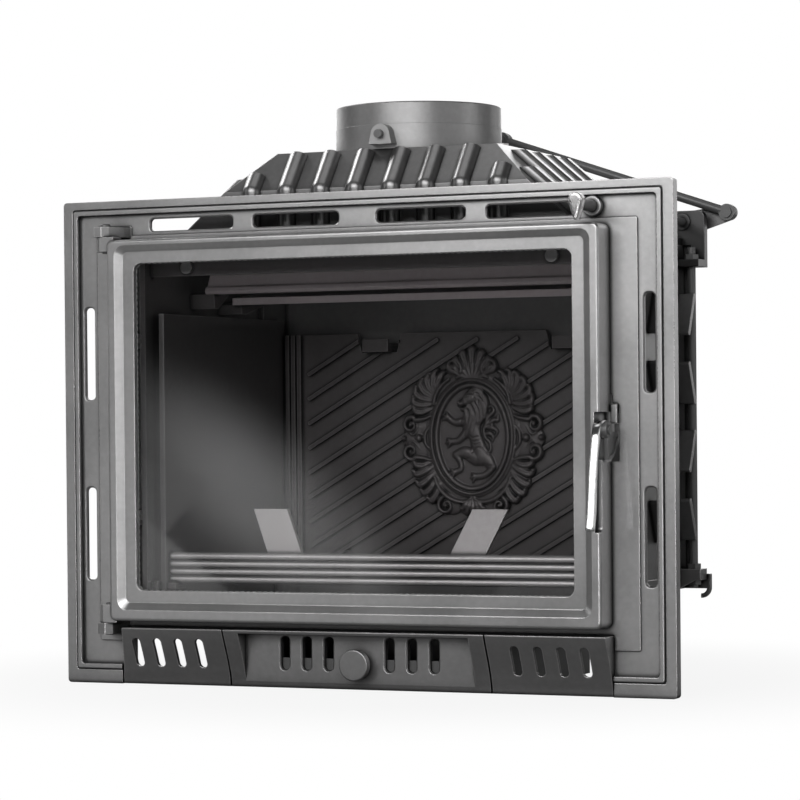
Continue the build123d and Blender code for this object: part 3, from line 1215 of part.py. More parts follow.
def damper_link():
    """A round rod with an eye at each end."""
    xa, za = SHAFT_X + CRANK_DX, SHAFT_Z + CRANK_DZ
    xb, zb = CRANK_DX, AXLE_Z + CRANK_DZ
    long = math.hypot(xb - xa, zb - za)
    tilt = math.degrees(math.atan2(zb - za, xb - xa))
    rod = Pos((xa + xb) / 2, LINK_Y, (za + zb) / 2) * Rot(0, 90 - tilt, 0) * Cylinder(
        LINK_R, long - 2 * LINK_EYE_R + 6
    )
    body = rod
    y0, y1 = LINK_Y - LINK_EYE_T / 2, LINK_Y + LINK_EYE_T / 2
    for x, z in ((xa, za), (xb, zb)):
        body += bar_y(x, z, LINK_EYE_R, y0, y1)
    body -= bar_y(xa, za, LINK_PIN_R + RUN, 200, 400)
    return body - bar_y(xb, zb, LINK_PIN_R + FREE, 200, 400)


save("damper_link", damper_link())

axle = bar_y(0, AXLE_Z, AXLE_R, LUG_FRONT - 6, CRANK_Y[1])
save("flap_axle", axle)

flap = bar_z(0, FLUE_SETBACK, FLAP_R, AXLE_Z - FLAP_T / 2, AXLE_Z + FLAP_T / 2)
flap += bar_y(0, AXLE_Z, AXLE_R + 4, FLUE_SETBACK - FLAP_R + 12, FLUE_SETBACK + FLAP_R - 12)
flap -= bar_y(0, AXLE_Z, AXLE_R, 0, 400)
flap_screws = []
seat_z = AXLE_Z + AXLE_R + 2.5
for y in (FLUE_SETBACK - 40, FLUE_SETBACK + 40):
    flap -= bar_z(0, y, 6.5, seat_z, seat_z + 9) + bar_z(0, y, 2.5, AXLE_Z, seat_z + 1)
    flap_screws.append(
        bar_z(0, y, 2.5, AXLE_Z + AXLE_R, seat_z) + hex_z(0, y, 5, seat_z, seat_z + 4)
    )
save("damper_flap", flap)
save("flap_screws", Compound(flap_screws))
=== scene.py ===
# %% [markdown]
# # A cast-iron fireplace insert
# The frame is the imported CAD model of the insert: castings, pane, latch, ash pan and
# damper, each a node that rides on its own moving body. This script dresses that frame.
# It gives every casting its paint and grain, adds the relief that a solid model leaves
# out, and photographs the result in a plain studio. All lengths are in metres.

# %% Load the frame
import math

import bmesh
import bpy
import numpy as np
from mathutils import Matrix, Vector


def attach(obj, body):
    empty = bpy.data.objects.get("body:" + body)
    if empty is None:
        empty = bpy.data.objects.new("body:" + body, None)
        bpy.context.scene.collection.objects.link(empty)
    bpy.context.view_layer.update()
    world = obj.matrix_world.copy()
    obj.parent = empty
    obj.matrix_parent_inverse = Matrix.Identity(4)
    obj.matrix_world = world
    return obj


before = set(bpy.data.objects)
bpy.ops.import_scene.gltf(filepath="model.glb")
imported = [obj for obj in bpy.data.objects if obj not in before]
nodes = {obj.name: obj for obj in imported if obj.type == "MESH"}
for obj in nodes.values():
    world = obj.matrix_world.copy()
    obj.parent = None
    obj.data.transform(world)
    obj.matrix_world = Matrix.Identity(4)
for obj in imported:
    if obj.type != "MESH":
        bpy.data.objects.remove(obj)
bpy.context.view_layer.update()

# %% [markdown]
# ## Shader arithmetic
# A procedural finish is mostly sums and products of patterns. Blender writes each of
# them as a Math node, which is slow to read. A small class can hold a socket and turn
# Python operators into those nodes, so that a formula in the text is the same formula
# in the material. Every other node comes from one method that takes the node's type,
# its settings and the values or links of its sockets.

# %% Sockets that can be added and multiplied
class Wire:
    """An output socket of a material, used like a number."""

    def __init__(self, finish, socket):
        self.finish = finish
        self.socket = socket

    def math(self, operation, first, second):
        """One Math node. At least one of the two is a wire, the other may be a number."""
        node = self.finish.node("Math", {"operation": operation}, {0: first, 1: second})
        return self.finish.wire(node, "Value")

    def __add__(self, other):
        return self.math("ADD", self, other)

    def __radd__(self, other):
        return self.math("ADD", other, self)

    def __sub__(self, other):
        return self.math("SUBTRACT", self, other)

    def __rsub__(self, other):
        return self.math("SUBTRACT", other, self)

    def __mul__(self, other):
        return self.math("MULTIPLY", self, other)

    def __rmul__(self, other):
        return self.math("MULTIPLY", other, self)


class Finish:
    """One material, built node by node."""

    def __init__(self, name):
        self.material = bpy.data.materials.new(name)
        self.material.use_nodes = True
        self.tree = self.material.node_tree
        self.tree.nodes.clear()

    def node(self, kind, settings=None, inputs=None):
        """Any shader node: its settings first, then the values or links of its sockets."""
        made = self.tree.nodes.new("ShaderNode" + kind)
        for key, value in (settings or {}).items():
            if key == "stops":
                ramp = made.color_ramp
                while len(ramp.elements) < len(value):
                    ramp.elements.new(0.5)
                for element, (place, level) in zip(ramp.elements, value):
                    element.position = place
                    element.color = (level, level, level, 1)
            else:
                setattr(made, key, value)
        for key, value in (inputs or {}).items():
            if isinstance(value, Wire):
                self.tree.links.new(value.socket, made.inputs[key])
            else:
                made.inputs[key].default_value = value
        return made

    def wire(self, node, output=0):
        """One output of a node, ready for a formula."""
        return Wire(self, node.outputs[output])

    def place(self):
        """Object coordinates, which are metres in the frame of the insert."""
        return self.wire(self.node("TexCoord"), "Object")

    def noise(self, scale, detail=3.0, rough=0.5, stretch=None):
        """Cloudy noise from 0 to 1. Scale is in features per metre."""
        where = self.place()
        if stretch:
            where = self.wire(self.node("Mapping", {}, {"Vector": where, "Scale": stretch}))
        made = self.node(
            "TexNoise", {}, {"Vector": where, "Scale": scale, "Detail": detail, "Roughness": rough}
        )
        return self.wire(made, "Fac")

    def ramp(self, value, stops):
        """A pattern with its levels moved to the given stops."""
        return self.wire(self.node("ValToRGB", {"stops": stops}, {"Fac": value}), "Color")

    def blend(self, amount, first, second):
        """A colour between two colours."""
        made = self.node(
            "Mix", {"data_type": "RGBA"}, {"Factor": amount, "A": first, "B": second}
        )
        return Wire(self, made.outputs["Result"])

    def end(self, shader):
        """Close the material with its surface shader."""
        self.node("OutputMaterial", {}, {"Surface": shader})
        return self.material


def grey(level, warmth=0.0):
    """A near-neutral colour. Warmth tints it towards the brown of baked iron."""
    return (level * (1 + warmth), level * (1 - warmth * 0.3), level, 1.0)


print("shader helpers ready")

# %% [markdown]
# ## Painted cast iron
# The real castings come out of a sand mould, so their skin has a fine, even grain and
# slow ripples, and they are sprayed with satin heat-proof paint. The grain could be
# modelled, but at a tenth of a millimetre it is far cheaper as a bump. Two sizes of
# noise make the grain, and a wide one makes the paint lie thicker and thinner.
#
# What makes iron look like iron is its edges and corners. The ridges are made lighter
# and smoother, partly as wear and partly as a painted highlight. Creases and corners
# are painted dark as shade. Both are found by one kind of probe, an Ambient Occlusion
# node, which measures how much surface lies close by: sent into the metal it finds
# ridges, and sent outwards it finds creases. A Bevel node shades the sharp CAD edges as round.

# %% The iron finishes
RIDGE_REACH, CREASE_REACH, CORNER_REACH = 0.0016, 0.0050, 0.022   # how far a probe feels
SHADE_BLEND = 0.02          # height over which the painted shade fades in


def painted_iron(name, tone, rough, grain=1.0, wear_and_highlight=0.5, edge=0.0013, metal=0.75, warmth=0.0,
                 shade_below=None, painted_shade=1.0):
    """Satin paint on cast iron: grain, mottling, wear with a painted edge highlight, painted shade
    in corners.

    Below the given height the colour is painted near black: painted shade behind the front.
    """
    finish = Finish(name)
    fine = finish.noise(1500, 2.0, 0.6)
    sand = finish.noise(420, 3.0, 0.6)
    cloud = finish.noise(14, 4.0, 0.55)
    spots = finish.ramp(finish.noise(160, 2.0, 0.5), [(0.38, 0.0), (0.72, 1.0)])

    def nearness(reach, inside):
        """From 0 in the open towards 1 where surfaces close in on all sides."""
        settings = {"samples": 8, "inside": inside, "only_local": inside}
        probe = finish.node("AmbientOcclusion", settings, {"Distance": reach})
        return 1 - finish.wire(probe, "AO")

    ridge = finish.ramp(nearness(RIDGE_REACH, True), [(0.12, 0.0), (0.42, 1.0)])
    crease_shade = finish.ramp(nearness(CREASE_REACH, False), [(0.07, 0.0), (0.34, 1.0)])
    corner_shade = finish.ramp(nearness(CORNER_REACH, False), [(0.12, 0.0), (0.62, 1.0)])
    # Ridges are made lighter and smoother: partly wear, partly a painted highlight.
    worn_and_highlit = ridge * (0.35 + cloud * 0.9) * wear_and_highlight

    mottled = finish.blend(cloud, grey(tone * 0.86, warmth), grey(tone * 1.16, warmth + 0.012))
    dusted = finish.blend(spots * 0.16, mottled, grey(tone * 1.55))
    rubbed_and_highlit = finish.blend(worn_and_highlit * 0.80, dusted, grey(min(0.88, tone * 2.8), 0.02))
    # Corners and creases are darkened towards black: painted shade.
    corner_shaded = finish.blend(corner_shade * (0.70 * painted_shade), rubbed_and_highlit, grey(tone * 0.16))
    colour = finish.blend(crease_shade * (0.88 * painted_shade), corner_shaded, grey(tone * 0.06))
    # Below the given height the colour goes near black: painted shade for parts behind the front.
    if shade_below is not None:
        level = finish.wire(finish.node("SeparateXYZ", {}, {0: finish.place()}), "Z")
        shaded_below = finish.ramp(level, [(shade_below - SHADE_BLEND, 1.0), (shade_below, 0.0)])
        colour = finish.blend(shaded_below * 0.86, colour, grey(0.02))

    round_edge = finish.wire(finish.node("Bevel", {"samples": 6}, {"Radius": edge}))
    bump = finish.node("Bump", {}, {
        "Height": sand * 0.7 + fine * 0.3, "Strength": 0.20 * grain, "Distance": 0.0006,
        "Normal": round_edge,
    })
    shell = finish.node("BsdfPrincipled", {}, {
        "Base Color": colour,
        "Roughness": rough - 0.05 + cloud * 0.10 + sand * 0.06 - worn_and_highlit * 0.10 + corner_shade * 0.15,
        "Metallic": metal,
        "Normal": finish.wire(bump),
    })
    return finish.end(finish.wire(shell))


HOOD_SHADE_BELOW = 0.536    # the front hides the hood up to here; below it the hood is painted dark as shade

# name, tone, roughness, grain, wear and painted edge highlight
FRONT_PAINT = painted_iron("satin_front_paint", 0.40, 0.31, 0.5, 0.8, metal=0.95)
DOOR_PAINT = painted_iron("satin_door_paint", 0.42, 0.30, 0.4, 0.8, metal=0.95)
# A darker copy of the front paint for aprons, ash front and knob: painted shade that keeps these
# low parts dark under the low hearth lamp.
SHADED_FRONT_PAINT = painted_iron("satin_front_paint_shaded", 0.26, 0.31, 0.5, 0.8, metal=0.9)
BODY_PAINT = painted_iron("body_iron", 0.20, 0.34, 1.0, 1.2)
HOOD_PAINT = painted_iron(
    "hood_iron", 0.29, 0.30, 0.7, 0.6, metal=0.95, shade_below=HOOD_SHADE_BELOW
)
HEARTH_IRON = painted_iron("hearth_iron", 0.115, 0.42, 0.8, 0.9, metal=0.3, warmth=0.06)
LINER_IRON = painted_iron("liner_iron", 0.15, 0.46, 0.2, 0.6, metal=0.5, warmth=0.02)
CARTOUCHE_IRON = painted_iron("cartouche_iron", 0.125, 0.38, 0.6, 0.9, metal=0.4, warmth=0.06)
# Baffles: tone lifted far above the hearth iron as painted light, which the lamps hardly give
# here; the warm tint is their colour.
LIT_BAFFLE_IRON = painted_iron("baffle_iron_painted_light", 0.78, 0.44, 0.6, 0.2, metal=0.2, warmth=0.09)
# Log guard: tone lifted far above the hearth iron as painted light in place of lamp light.
LIT_RAIL_IRON = painted_iron("rail_iron_painted_light", 0.80, 0.38, 0.8, 0.6, metal=0.6, warmth=0.02)
# Guard blades: tone lifted above the hearth iron as painted light, less than on the rails.
LIT_BLADE_IRON = painted_iron("blade_iron_painted_light", 0.50, 0.42, 0.8, 0.6, metal=0.4, warmth=0.03)
POLISHED_IRON = painted_iron("polished_iron", 0.62, 0.13, 0.1, 0.3, 0.004, metal=1.0)
COLLAR_PAINT = painted_iron("collar_iron", 0.28, 0.42, 0.8, 0.0, 0.0005, metal=0.9, painted_shade=0.0)
print("iron finishes ready")

# %% [markdown]
# ## Sheet steel, bright fasteners and polished chrome
# The ash pan and its box are folded from black sheet, which is smoother than a casting
# and shows faint streaks along the rolling direction. Screws and rods are bare steel
# with a dull zinc skin. The latch lever is polished and chromed. All three could share
# one material with different numbers, but streaks, zinc bloom and a mirror need
# different patterns, so each gets its own short recipe.

# %% The steel finishes
def sheet_steel(name, tone, rough):
    """Black sheet with faint rolling streaks along X."""
    finish = Finish(name)
    streak = finish.noise(90, 3.0, 0.6, stretch=(0.08, 1, 1))
    cloud = finish.noise(9, 3.0)
    colour = finish.blend(cloud, grey(tone * 0.8), grey(tone * 1.25))
    bump = finish.node("Bump", {}, {"Height": streak, "Strength": 0.05, "Distance": 0.0004})
    shell = finish.node("BsdfPrincipled", {}, {
        "Base Color": colour, "Roughness": rough + streak * 0.12, "Metallic": 0.35,
        "Normal": finish.wire(bump),
    })
    return finish.end(finish.wire(shell))


def zinc_steel(name, tone, rough):
    """Bare steel with a patchy zinc bloom and softened edges."""
    finish = Finish(name)
    bloom = finish.noise(260, 4.0, 0.6)
    round_edge = finish.wire(finish.node("Bevel", {"samples": 4}, {"Radius": 0.0005}))
    colour = finish.blend(bloom, grey(tone * 0.7), grey(tone * 1.2, 0.02))
    bump = finish.node(
        "Bump", {}, {"Height": bloom, "Strength": 0.08, "Distance": 0.0003, "Normal": round_edge}
    )
    shell = finish.node("BsdfPrincipled", {}, {
        "Base Color": colour, "Roughness": rough + bloom * 0.15, "Metallic": 0.9,
        "Normal": finish.wire(bump),
    })
    return finish.end(finish.wire(shell))


def polished_chrome(name):
    """A bright mirror with very faint wiping marks."""
    finish = Finish(name)
    wipe = finish.noise(300, 2.0, 0.5, stretch=(1, 1, 0.1))
    round_edge = finish.wire(finish.node("Bevel", {"samples": 12}, {"Radius": 0.0050}))
    shell = finish.node("BsdfPrincipled", {}, {
        "Base Color": grey(0.78), "Roughness": 0.06 + wipe * 0.08, "Metallic": 1.0,
        "Normal": round_edge,
    })
    return finish.end(finish.wire(shell))


PAN_STEEL = sheet_steel("ash_pan_steel", 0.09, 0.42)
DARK_STEEL = sheet_steel("dark_rod_steel", 0.12, 0.36)
ZINC = zinc_steel("zinc_fasteners", 0.42, 0.30)
CHROME = polished_chrome("latch_chrome")
print("steel finishes ready")

# %% [markdown]
# ## Ceramic glass and glass-fibre rope
# The pane is clear ceramic glass, 4 mm thick. A refracting glass shader would be
# truer, but it stops the studio light from reaching the firebox, which then goes
# black. A see-through shader mixed with a mirror by the Fresnel law shows the same
# pane and lets the light in. The rope is knitted from glass fibre, so it is pale,
# matt and lumpy.

# %% The glass and rope finishes
def ceramic_pane(name):
    """Clear pane: transparent face on, mirror-like at a slant."""
    finish = Finish(name)
    film = finish.noise(6, 3.0)
    clear = finish.node("BsdfTransparent", {}, {"Color": grey(0.86)})
    mirror = finish.node("BsdfPrincipled", {}, {
        "Base Color": grey(0.9), "Metallic": 1.0, "Roughness": 0.03,
    })
    slant = finish.wire(finish.node("Fresnel", {}, {"IOR": 1.46}))
    made = finish.node("MixShader", {}, {
        0: slant * 0.80 + film * 0.010, 1: finish.wire(clear), 2: finish.wire(mirror),
    })
    return finish.end(finish.wire(made))


def fibre_rope(name):
    """Pale knitted fibre, a bump pattern of small lumps."""
    finish = Finish(name)
    knit = finish.node(
        "TexVoronoi", {}, {"Vector": finish.place(), "Scale": 520.0, "Randomness": 0.5}
    )
    lump = finish.wire(knit, "Distance")
    bump = finish.node("Bump", {}, {"Height": 1 - lump, "Strength": 0.6, "Distance": 0.0009})
    colour = finish.blend(lump, grey(0.34), grey(0.12))
    shell = finish.node("BsdfPrincipled", {}, {
        "Base Color": colour, "Roughness": 0.9, "Normal": finish.wire(bump),
    })
    return finish.end(finish.wire(shell))


PANE = ceramic_pane("ceramic_pane")
ROPE = fibre_rope("fibre_rope")
print("glass and rope ready")

# %% [markdown]
# ## Dress the castings
# Each CAD node keeps its mesh and gets a finish. A table from finish to nodes is the
# shortest way to say it, and anything not in the table is body iron, so that a node
# added to the CAD later can't stay undressed.

# %% Give each node its finish
DRESS = {
    FRONT_PAINT: ["front_frame"],
    SHADED_FRONT_PAINT: ["apron_left", "apron_right", "ash_front", "ash_knob"],
    DOOR_PAINT: ["door_frame", "latch_keeper"],
    POLISHED_IRON: ["damper_lever"],
    HOOD_PAINT: ["smoke_hood"],
    COLLAR_PAINT: ["flue_collar"],
    HEARTH_IRON: [
        "fireback", "fireback_hangers", "grate", "lintel", "guard_brackets", "damper_flap",
        "baffle_lugs",
    ],
    LINER_IRON: ["liner_left", "liner_right"],
    LIT_BAFFLE_IRON: ["baffle_front", "baffle_rear"],
    LIT_RAIL_IRON: ["log_guard"],
    LIT_BLADE_IRON: ["guard_blades"],
    PAN_STEEL: ["ash_pan", "ash_box"],
    DARK_STEEL: [
        "damper_shaft", "damper_link", "tie_rods", "tie_nuts", "flap_axle", "hinge_pin_upper",
        "hinge_pin_lower", "latch_cam", "latch_pin", "link_pin_control", "link_pin_flap",
    ],
    ZINC: [
        "front_bolts", "collar_bolts", "lintel_bolts", "clip_screws", "keeper_screws",
        "ash_knob_screw", "flap_screws", "glass_clips",
    ],
    CHROME: ["latch_lever"],
    PANE: ["door_glass"],
    ROPE: ["door_rope", "glass_tape"],
}
finish_of = {name: finish for finish, names in DRESS.items() for name in names}
for name, node in nodes.items():
    finish = finish_of.get(name, BODY_PAINT)
    if not node.material_slots:
        node.data.materials.append(finish)
    for holder in node.material_slots:
        holder.material = finish
print("dressed", len(nodes), "nodes")

# %% [markdown]
# ## The cartouche on the fireback
# The photo shows an oval with a lion in a scrolled frame, cast with the plate. This is
# a common hearth ornament, drawn here: a heraldic lion, a shell, leaves and
# C-scrolls. Sculpting it would give a mesh that nobody can change. A height map can be
# written down instead: every leaf and limb is a rounded bar along a smooth path, the
# highest bar wins at each place, and fine grooves are cut last, as a carver would do.
# The foundry's sand softens such relief, so the map is blurred a little at the end.

# %% Tools for the relief
def smooth(points, step=0.6):
    """A smooth path through a few points, as closely spaced points."""
    p = [np.array(q, float) for q in points]
    p = [2 * p[0] - p[1]] + p + [2 * p[-1] - p[-2]]
    path = []
    for a, b, c, d in zip(p, p[1:], p[2:], p[3:]):
        count = max(2, int(np.linalg.norm(c - b) / step))
        for t in np.linspace(0, 1, count, endpoint=False):
            path.append(0.5 * (2 * b + (c - a) * t + (2 * a - 5 * b + 4 * c - d) * t * t
                               + (3 * b - a - 3 * c + d) * t ** 3))
    return np.array(path + [p[-2]])


def volute(x, z, radius, start, turns, hand=1):
    """A spiral that winds inwards round a middle. Angles are in degrees."""
    swing = np.linspace(0, 360 * turns, max(6, int(14 * turns)))
    reach = radius * (1 - 0.80 * swing / swing[-1])
    angle = np.radians(start + hand * swing)
    return [(x + r * math.cos(a), z + r * math.sin(a)) for r, a in zip(reach, angle)]


class Relief:
    """Heights above the plate in millimetres, on a grid round the middle of the oval."""

    def __init__(self, half, low, high, step):
        self.step, self.half, self.low = step, half, low
        across = np.arange(-half, half + step / 2, step)
        upward = np.arange(low, high + step / 2, step)
        self.x, self.z = np.meshgrid(across, upward)
        self.rise = np.zeros_like(self.x)

    def window(self, x, z, radius):
        """The patch of the grid round one point."""
        i0 = max(0, int((x - radius + self.half) / self.step))
        i1 = int((x + radius + self.half) / self.step) + 2
        j0 = max(0, int((z - radius - self.low) / self.step))
        j1 = int((z + radius - self.low) / self.step) + 2
        return slice(j0, j1), slice(i0, i1)

    def dome(self, x, z, radius, foot, crown):
        """A round swelling that never lowers what is there."""
        patch = self.window(x, z, radius)
        near = ((self.x[patch] - x) ** 2 + (self.z[patch] - z) ** 2) / radius ** 2
        swell = np.where(near < 1, foot + (crown - foot) * np.sqrt(np.clip(1 - near, 0, 1)), 0)
        self.rise[patch] = np.maximum(self.rise[patch], swell)

    def bar(self, points, widths, foot, crown, both=False):
        """A rounded bar of changing width along a path, on one side or on both."""
        path = smooth(points)
        along = np.linspace(0, 1, len(path))
        radii = np.interp(along, np.linspace(0, 1, len(widths)), widths)
        for side in (1, -1) if both else (1,):
            for (x, z), radius in zip(path, radii):
                high = foot + (crown - foot) * min(1.0, 0.35 + 0.65 * radius / max(widths))
                self.dome(side * x, z, radius, foot, high)

    def pair(self, x, z, radius, foot, crown):
        """The same swelling on both sides of the middle."""
        self.dome(x, z, radius, foot, crown)
        self.dome(-x, z, radius, foot, crown)

    def groove(self, points, width, depth, both=False):
        """A fine cut along a path."""
        cut = np.zeros_like(self.rise)
        for side in (1, -1) if both else (1,):
            for x, z in smooth(points):
                patch = self.window(side * x, z, width)
                near = ((self.x[patch] - side * x) ** 2 + (self.z[patch] - z) ** 2) / width ** 2
                cut[patch] = np.maximum(cut[patch], depth * np.clip(1 - near, 0, 1))
        self.rise = np.where(self.rise > 0, self.rise - cut, self.rise)

    def off_oval(self, a, b):
        """Distance from an ellipse, positive outside it."""
        reach = np.hypot(self.x / a, self.z / b) + 1e-6
        slope = np.hypot(self.x / a ** 2, self.z / b ** 2) / reach
        return (reach - 1) / (slope + 1e-9)

    def moulding(self, a, b, width, foot, crown):
        """A rounded moulding that follows an ellipse."""
        near = (self.off_oval(a, b) / width) ** 2
        swell = np.where(near < 1, foot + (crown - foot) * np.sqrt(np.clip(1 - near, 0, 1)), 0)
        self.rise = np.maximum(self.rise, swell)


print("relief tools ready")

# %% The field of the cartouche
PLATE = 3.4                # the field, which just covers the ribs of the fireback
HALF_WIDE, FOOT, CREST, GRID = 92.0, -94.0, 106.0, 0.62
GROUND = (                 # x, z and radius of the ground between the leaves
    (0, 80, 17), (22, 76, 9), (51, 52, 17), (62, 42, 10), (66, 8, 13), (74, -2, 12),
    (66, -14, 13), (56, -42, 15), (46, -56, 12), (26, -74, 13), (6, -78, 10),
)

relief = Relief(HALF_WIDE, FOOT, CREST, GRID)
relief.rise = np.where(relief.off_oval(58, 74) < 0, PLATE, relief.rise)
for x, z, r in GROUND:
    relief.pair(x, z, r + 1.5, 1.2, 3.7)
print("field on a grid of", relief.rise.shape, "heights")

# %% The shell that crowns the frame
FLUTES, FLUTE_TURN = 7, 19         # the angle is in degrees


def shell_crest(relief):
    """A shell of flutes between two volutes."""
    for i in range(FLUTES):
        lean = math.radians(-57 + i * FLUTE_TURN)
        tip = 36.5 - 2.2 * abs(i - 3)
        reach = [(d * math.sin(lean), 62 + d * math.cos(lean)) for d in (2, tip * 0.6, tip)]
        relief.bar(reach, [1.8, 3.6, 5.6], 2.4, 7.0)
        relief.groove(reach[1:], 1.1, 1.0)
    relief.bar(volute(22.5, 79, 10.5, -150, 1.35, -1), [2.8, 2.2, 1.5], 2.6, 7.4, True)
    relief.pair(22.5, 79, 2.6, 3, 7.6)
    relief.bar([(4, 66), (12, 69), (19, 67.5)], [1.4, 2.4, 1.8], 2.4, 6.0, True)


shell_crest(relief)
print("shell of", FLUTES, "flutes")

# %% Leaves on the upper shoulders
def leaf(relief, lobes, widths, tip):
    """A fan of curled lobes on both sides, each with a vein and a rounded tip."""
    for lobe in lobes:
        relief.bar(lobe, widths, 2.2, 6.6, True)
        relief.groove(lobe[:3], 0.9, 1.0, True)
        relief.pair(*lobe[-1], tip, 2.6, 6.6)


UPPER_LOBES = (
    [(44, 50), (43, 60), (38, 71), (34, 74)],
    [(45, 50), (48, 61), (47, 72), (43, 76)],
    [(46, 48), (54, 58), (56, 68), (52, 73)],
    [(47, 45), (59, 52), (64, 61), (61, 67)],
    [(48, 42), (62, 45), (70, 51), (69, 58)],
    [(49, 38), (63, 37), (72, 40), (73, 47)],
    [(50, 33), (62, 29), (70, 30), (73, 35)],
)
relief.bar([(47, 38), (44, 50), (36, 60), (28, 66)], [2.6, 2.4, 1.8], 2.6, 6.8, True)
leaf(relief, UPPER_LOBES, [1.8, 4.2, 4.8, 2.6], 2.3)
print(len(UPPER_LOBES), "lobes on each upper shoulder")

# %% C-scrolls at the waist
def waist_scrolls(relief):
    """Two C-scrolls back to back on each side, with a pearl between them."""
    widths = [1.8, 3.2, 3.0, 2.4, 1.6]
    relief.bar([(51, 24), (60, 21), (70, 20)] + volute(76, 14, 9.5, 110, 1.2, -1),
               widths, 2.4, 7.0, True)
    relief.bar([(51, -26), (60, -24), (70, -23)] + volute(76, -16, 9.5, -110, 1.2, 1),
               widths, 2.4, 7.0, True)
    relief.bar([(53, 12), (58, 4), (58, -6), (53, -14)], [1.6, 2.4, 2.4, 1.6], 2.4, 5.8, True)
    for x, z, r in ((66, -1, 4.6), (84.5, -1, 3.0), (76, 14, 2.4), (76, -16, 2.4)):
        relief.pair(x, z, r, 3.0, 7.8)
    relief.bar([(66, 12), (73, 3), (82, 8)], [1.2, 2.0, 1.2], 2.2, 5.0, True)
    relief.bar([(66, -13), (73, -5), (82, -10)], [1.2, 2.0, 1.2], 2.2, 5.0, True)


waist_scrolls(relief)
print("C-scrolls at the waist")

# %% Leaves and scrolls under the oval
LOWER_LOBES = (
    [(51, -28), (62, -32), (70, -31), (74, -27)],
    [(50, -34), (62, -40), (70, -42), (74, -38)],
    [(48, -41), (58, -50), (66, -54), (70, -50)],
    [(45, -47), (52, -58), (60, -64), (64, -60)],
    [(41, -53), (44, -64), (51, -72), (56, -69)],
)


def foot_scrolls(relief):
    """Two long scrolls that meet under the oval, and a drop of leaves."""
    relief.bar([(47, -46), (40, -60), (26, -71), (10, -74), (2, -70)], [2.0, 3.2, 2.2],
               2.6, 6.8, True)
    relief.bar(volute(33, -78, 10, 60, 1.3, -1), [3.0, 2.4, 1.5], 2.4, 7.0, True)
    relief.pair(33, -78, 2.6, 3, 7.4)
    for x, z in ((0, -90), (7, -88), (14, -84)):
        relief.bar([(x * 0.3, -72), (x * 0.8, -80), (x, z + 3)], [1.6, 4.0, 2.8], 2.4, 6.8, True)


leaf(relief, LOWER_LOBES, [1.8, 4.4, 5.0, 2.6], 2.2)
foot_scrolls(relief)
print(len(LOWER_LOBES), "lobes on each lower shoulder")

# %% The mouldings of the oval
relief.rise = np.where(relief.off_oval(46, 61) < 0, PLATE, relief.rise)
relief.moulding(44, 59, 3.1, 3.2, 6.6)
relief.moulding(49.6, 64.6, 2.3, 3.2, 7.4)
relief.moulding(52.8, 67.8, 1.0, 3.2, 5.4)
print("frame rises to", round(float(relief.rise.max()), 1), "mm")

# %% The lion's body
LOW = 3.2                  # where the lion's limbs meet the field


def lion_body(relief):
    """A heraldic lion that stands on its hind legs and faces left: tail, trunk and limbs."""
    # tail first, behind the body: an S with flame-like tufts
    relief.bar([(14, -19), (22, -16), (22, -7), (16, 0), (15, 9), (20, 16), (25, 14)],
               [2.4, 1.9, 1.8, 1.9, 2.1, 2.4, 1.8], LOW, 6.4)
    for tuft in (
        [(17, 12), (20, 22), (27, 29), (24, 35), (21, 33)],
        [(19, 14), (27, 19), (32, 19), (32, 25)],
        [(18, 11), (26, 10), (31, 6), (29, 1)],
        [(16, 3), (22, 4), (26, 0), (25, -5)],
    ):
        relief.bar(tuft, [2.0, 3.2, 2.2, 1.0], LOW, 6.8)
    # trunk from the haunches up to the chest
    relief.bar([(11, -22), (8, -11), (4, 1), (0, 12), (1, 22)],
               [10.5, 8.8, 7.8, 10.4, 11.2], LOW, 8.2)
    # standing leg and forward leg
    relief.bar([(12, -21), (20, -28), (24, -35)], [9.6, 7.2, 4.2], LOW, 7.8)
    relief.bar([(25, -34), (20, -40), (13, -44), (5, -45)], [4.4, 3.6, 3.6, 3.8], LOW, 6.8)
    relief.bar([(5, -24), (-8, -18), (-20, -20)], [8.6, 7.4, 4.6], LOW, 7.6)
    relief.bar([(-20, -20), (-15, -28), (-14, -36), (-21, -40)], [4.4, 3.4, 3.2, 3.6], LOW, 6.6)
    # arms raised to strike
    relief.bar([(-4, 19), (-13, 17), (-22, 17), (-29, 22)], [6.4, 4.8, 3.8, 3.8], LOW, 7.4)
    relief.bar([(-2, 9), (-10, 2), (-17, -4), (-25, -5)], [6.2, 4.8, 3.8, 3.6], LOW, 7.2)


def lion_paws(relief):
    """Three toes with claws on each foot."""
    for x, z, lean in ((-29, 22, 150), (-25, -5, 190), (-21, -40, 190), (5, -45, 188)):
        for spread in (-42, 0, 42):
            a = math.radians(lean + spread)
            toe = (x + 4.4 * math.cos(a), z + 4.4 * math.sin(a))
            tip = (x + 7.4 * math.cos(a), z + 7.4 * math.sin(a) - 0.8)
            relief.bar([(x, z), toe, tip], [2.4, 2.2, 0.9], LOW, 6.6)


lion_body(relief)
lion_paws(relief)
print("body of the lion stands", round(float(relief.rise.max()), 1), "mm high at most")

# %% The lion's mane, head and folds
def lion_mane(relief):
    """Overlapping locks that fall from the crown over back and chest."""
    for lock in (
        [(6, 50), (14, 46), (18, 37), (16, 28)], [(8, 45), (15, 36), (16, 26), (13, 18)],
        [(4, 45), (11, 34), (12, 22), (8, 12)], [(1, 40), (7, 29), (6, 17), (2, 7)],
        [(-3, 36), (1, 26), (0, 16), (-4, 7)], [(-7, 31), (-5, 23), (-6, 15), (-10, 10)],
        [(-1, 52), (6, 53), (12, 50), (14, 44)], [(-5, 48), (2, 49), (8, 44), (9, 36)],
    ):
        relief.bar(lock, [3.2, 4.4, 3.8, 1.3], LOW, 8.6)
        relief.groove(lock, 0.7, 1.0)
        relief.groove([(x + 1.8, z + 0.6) for x, z in lock[:3]], 0.6, 0.7)


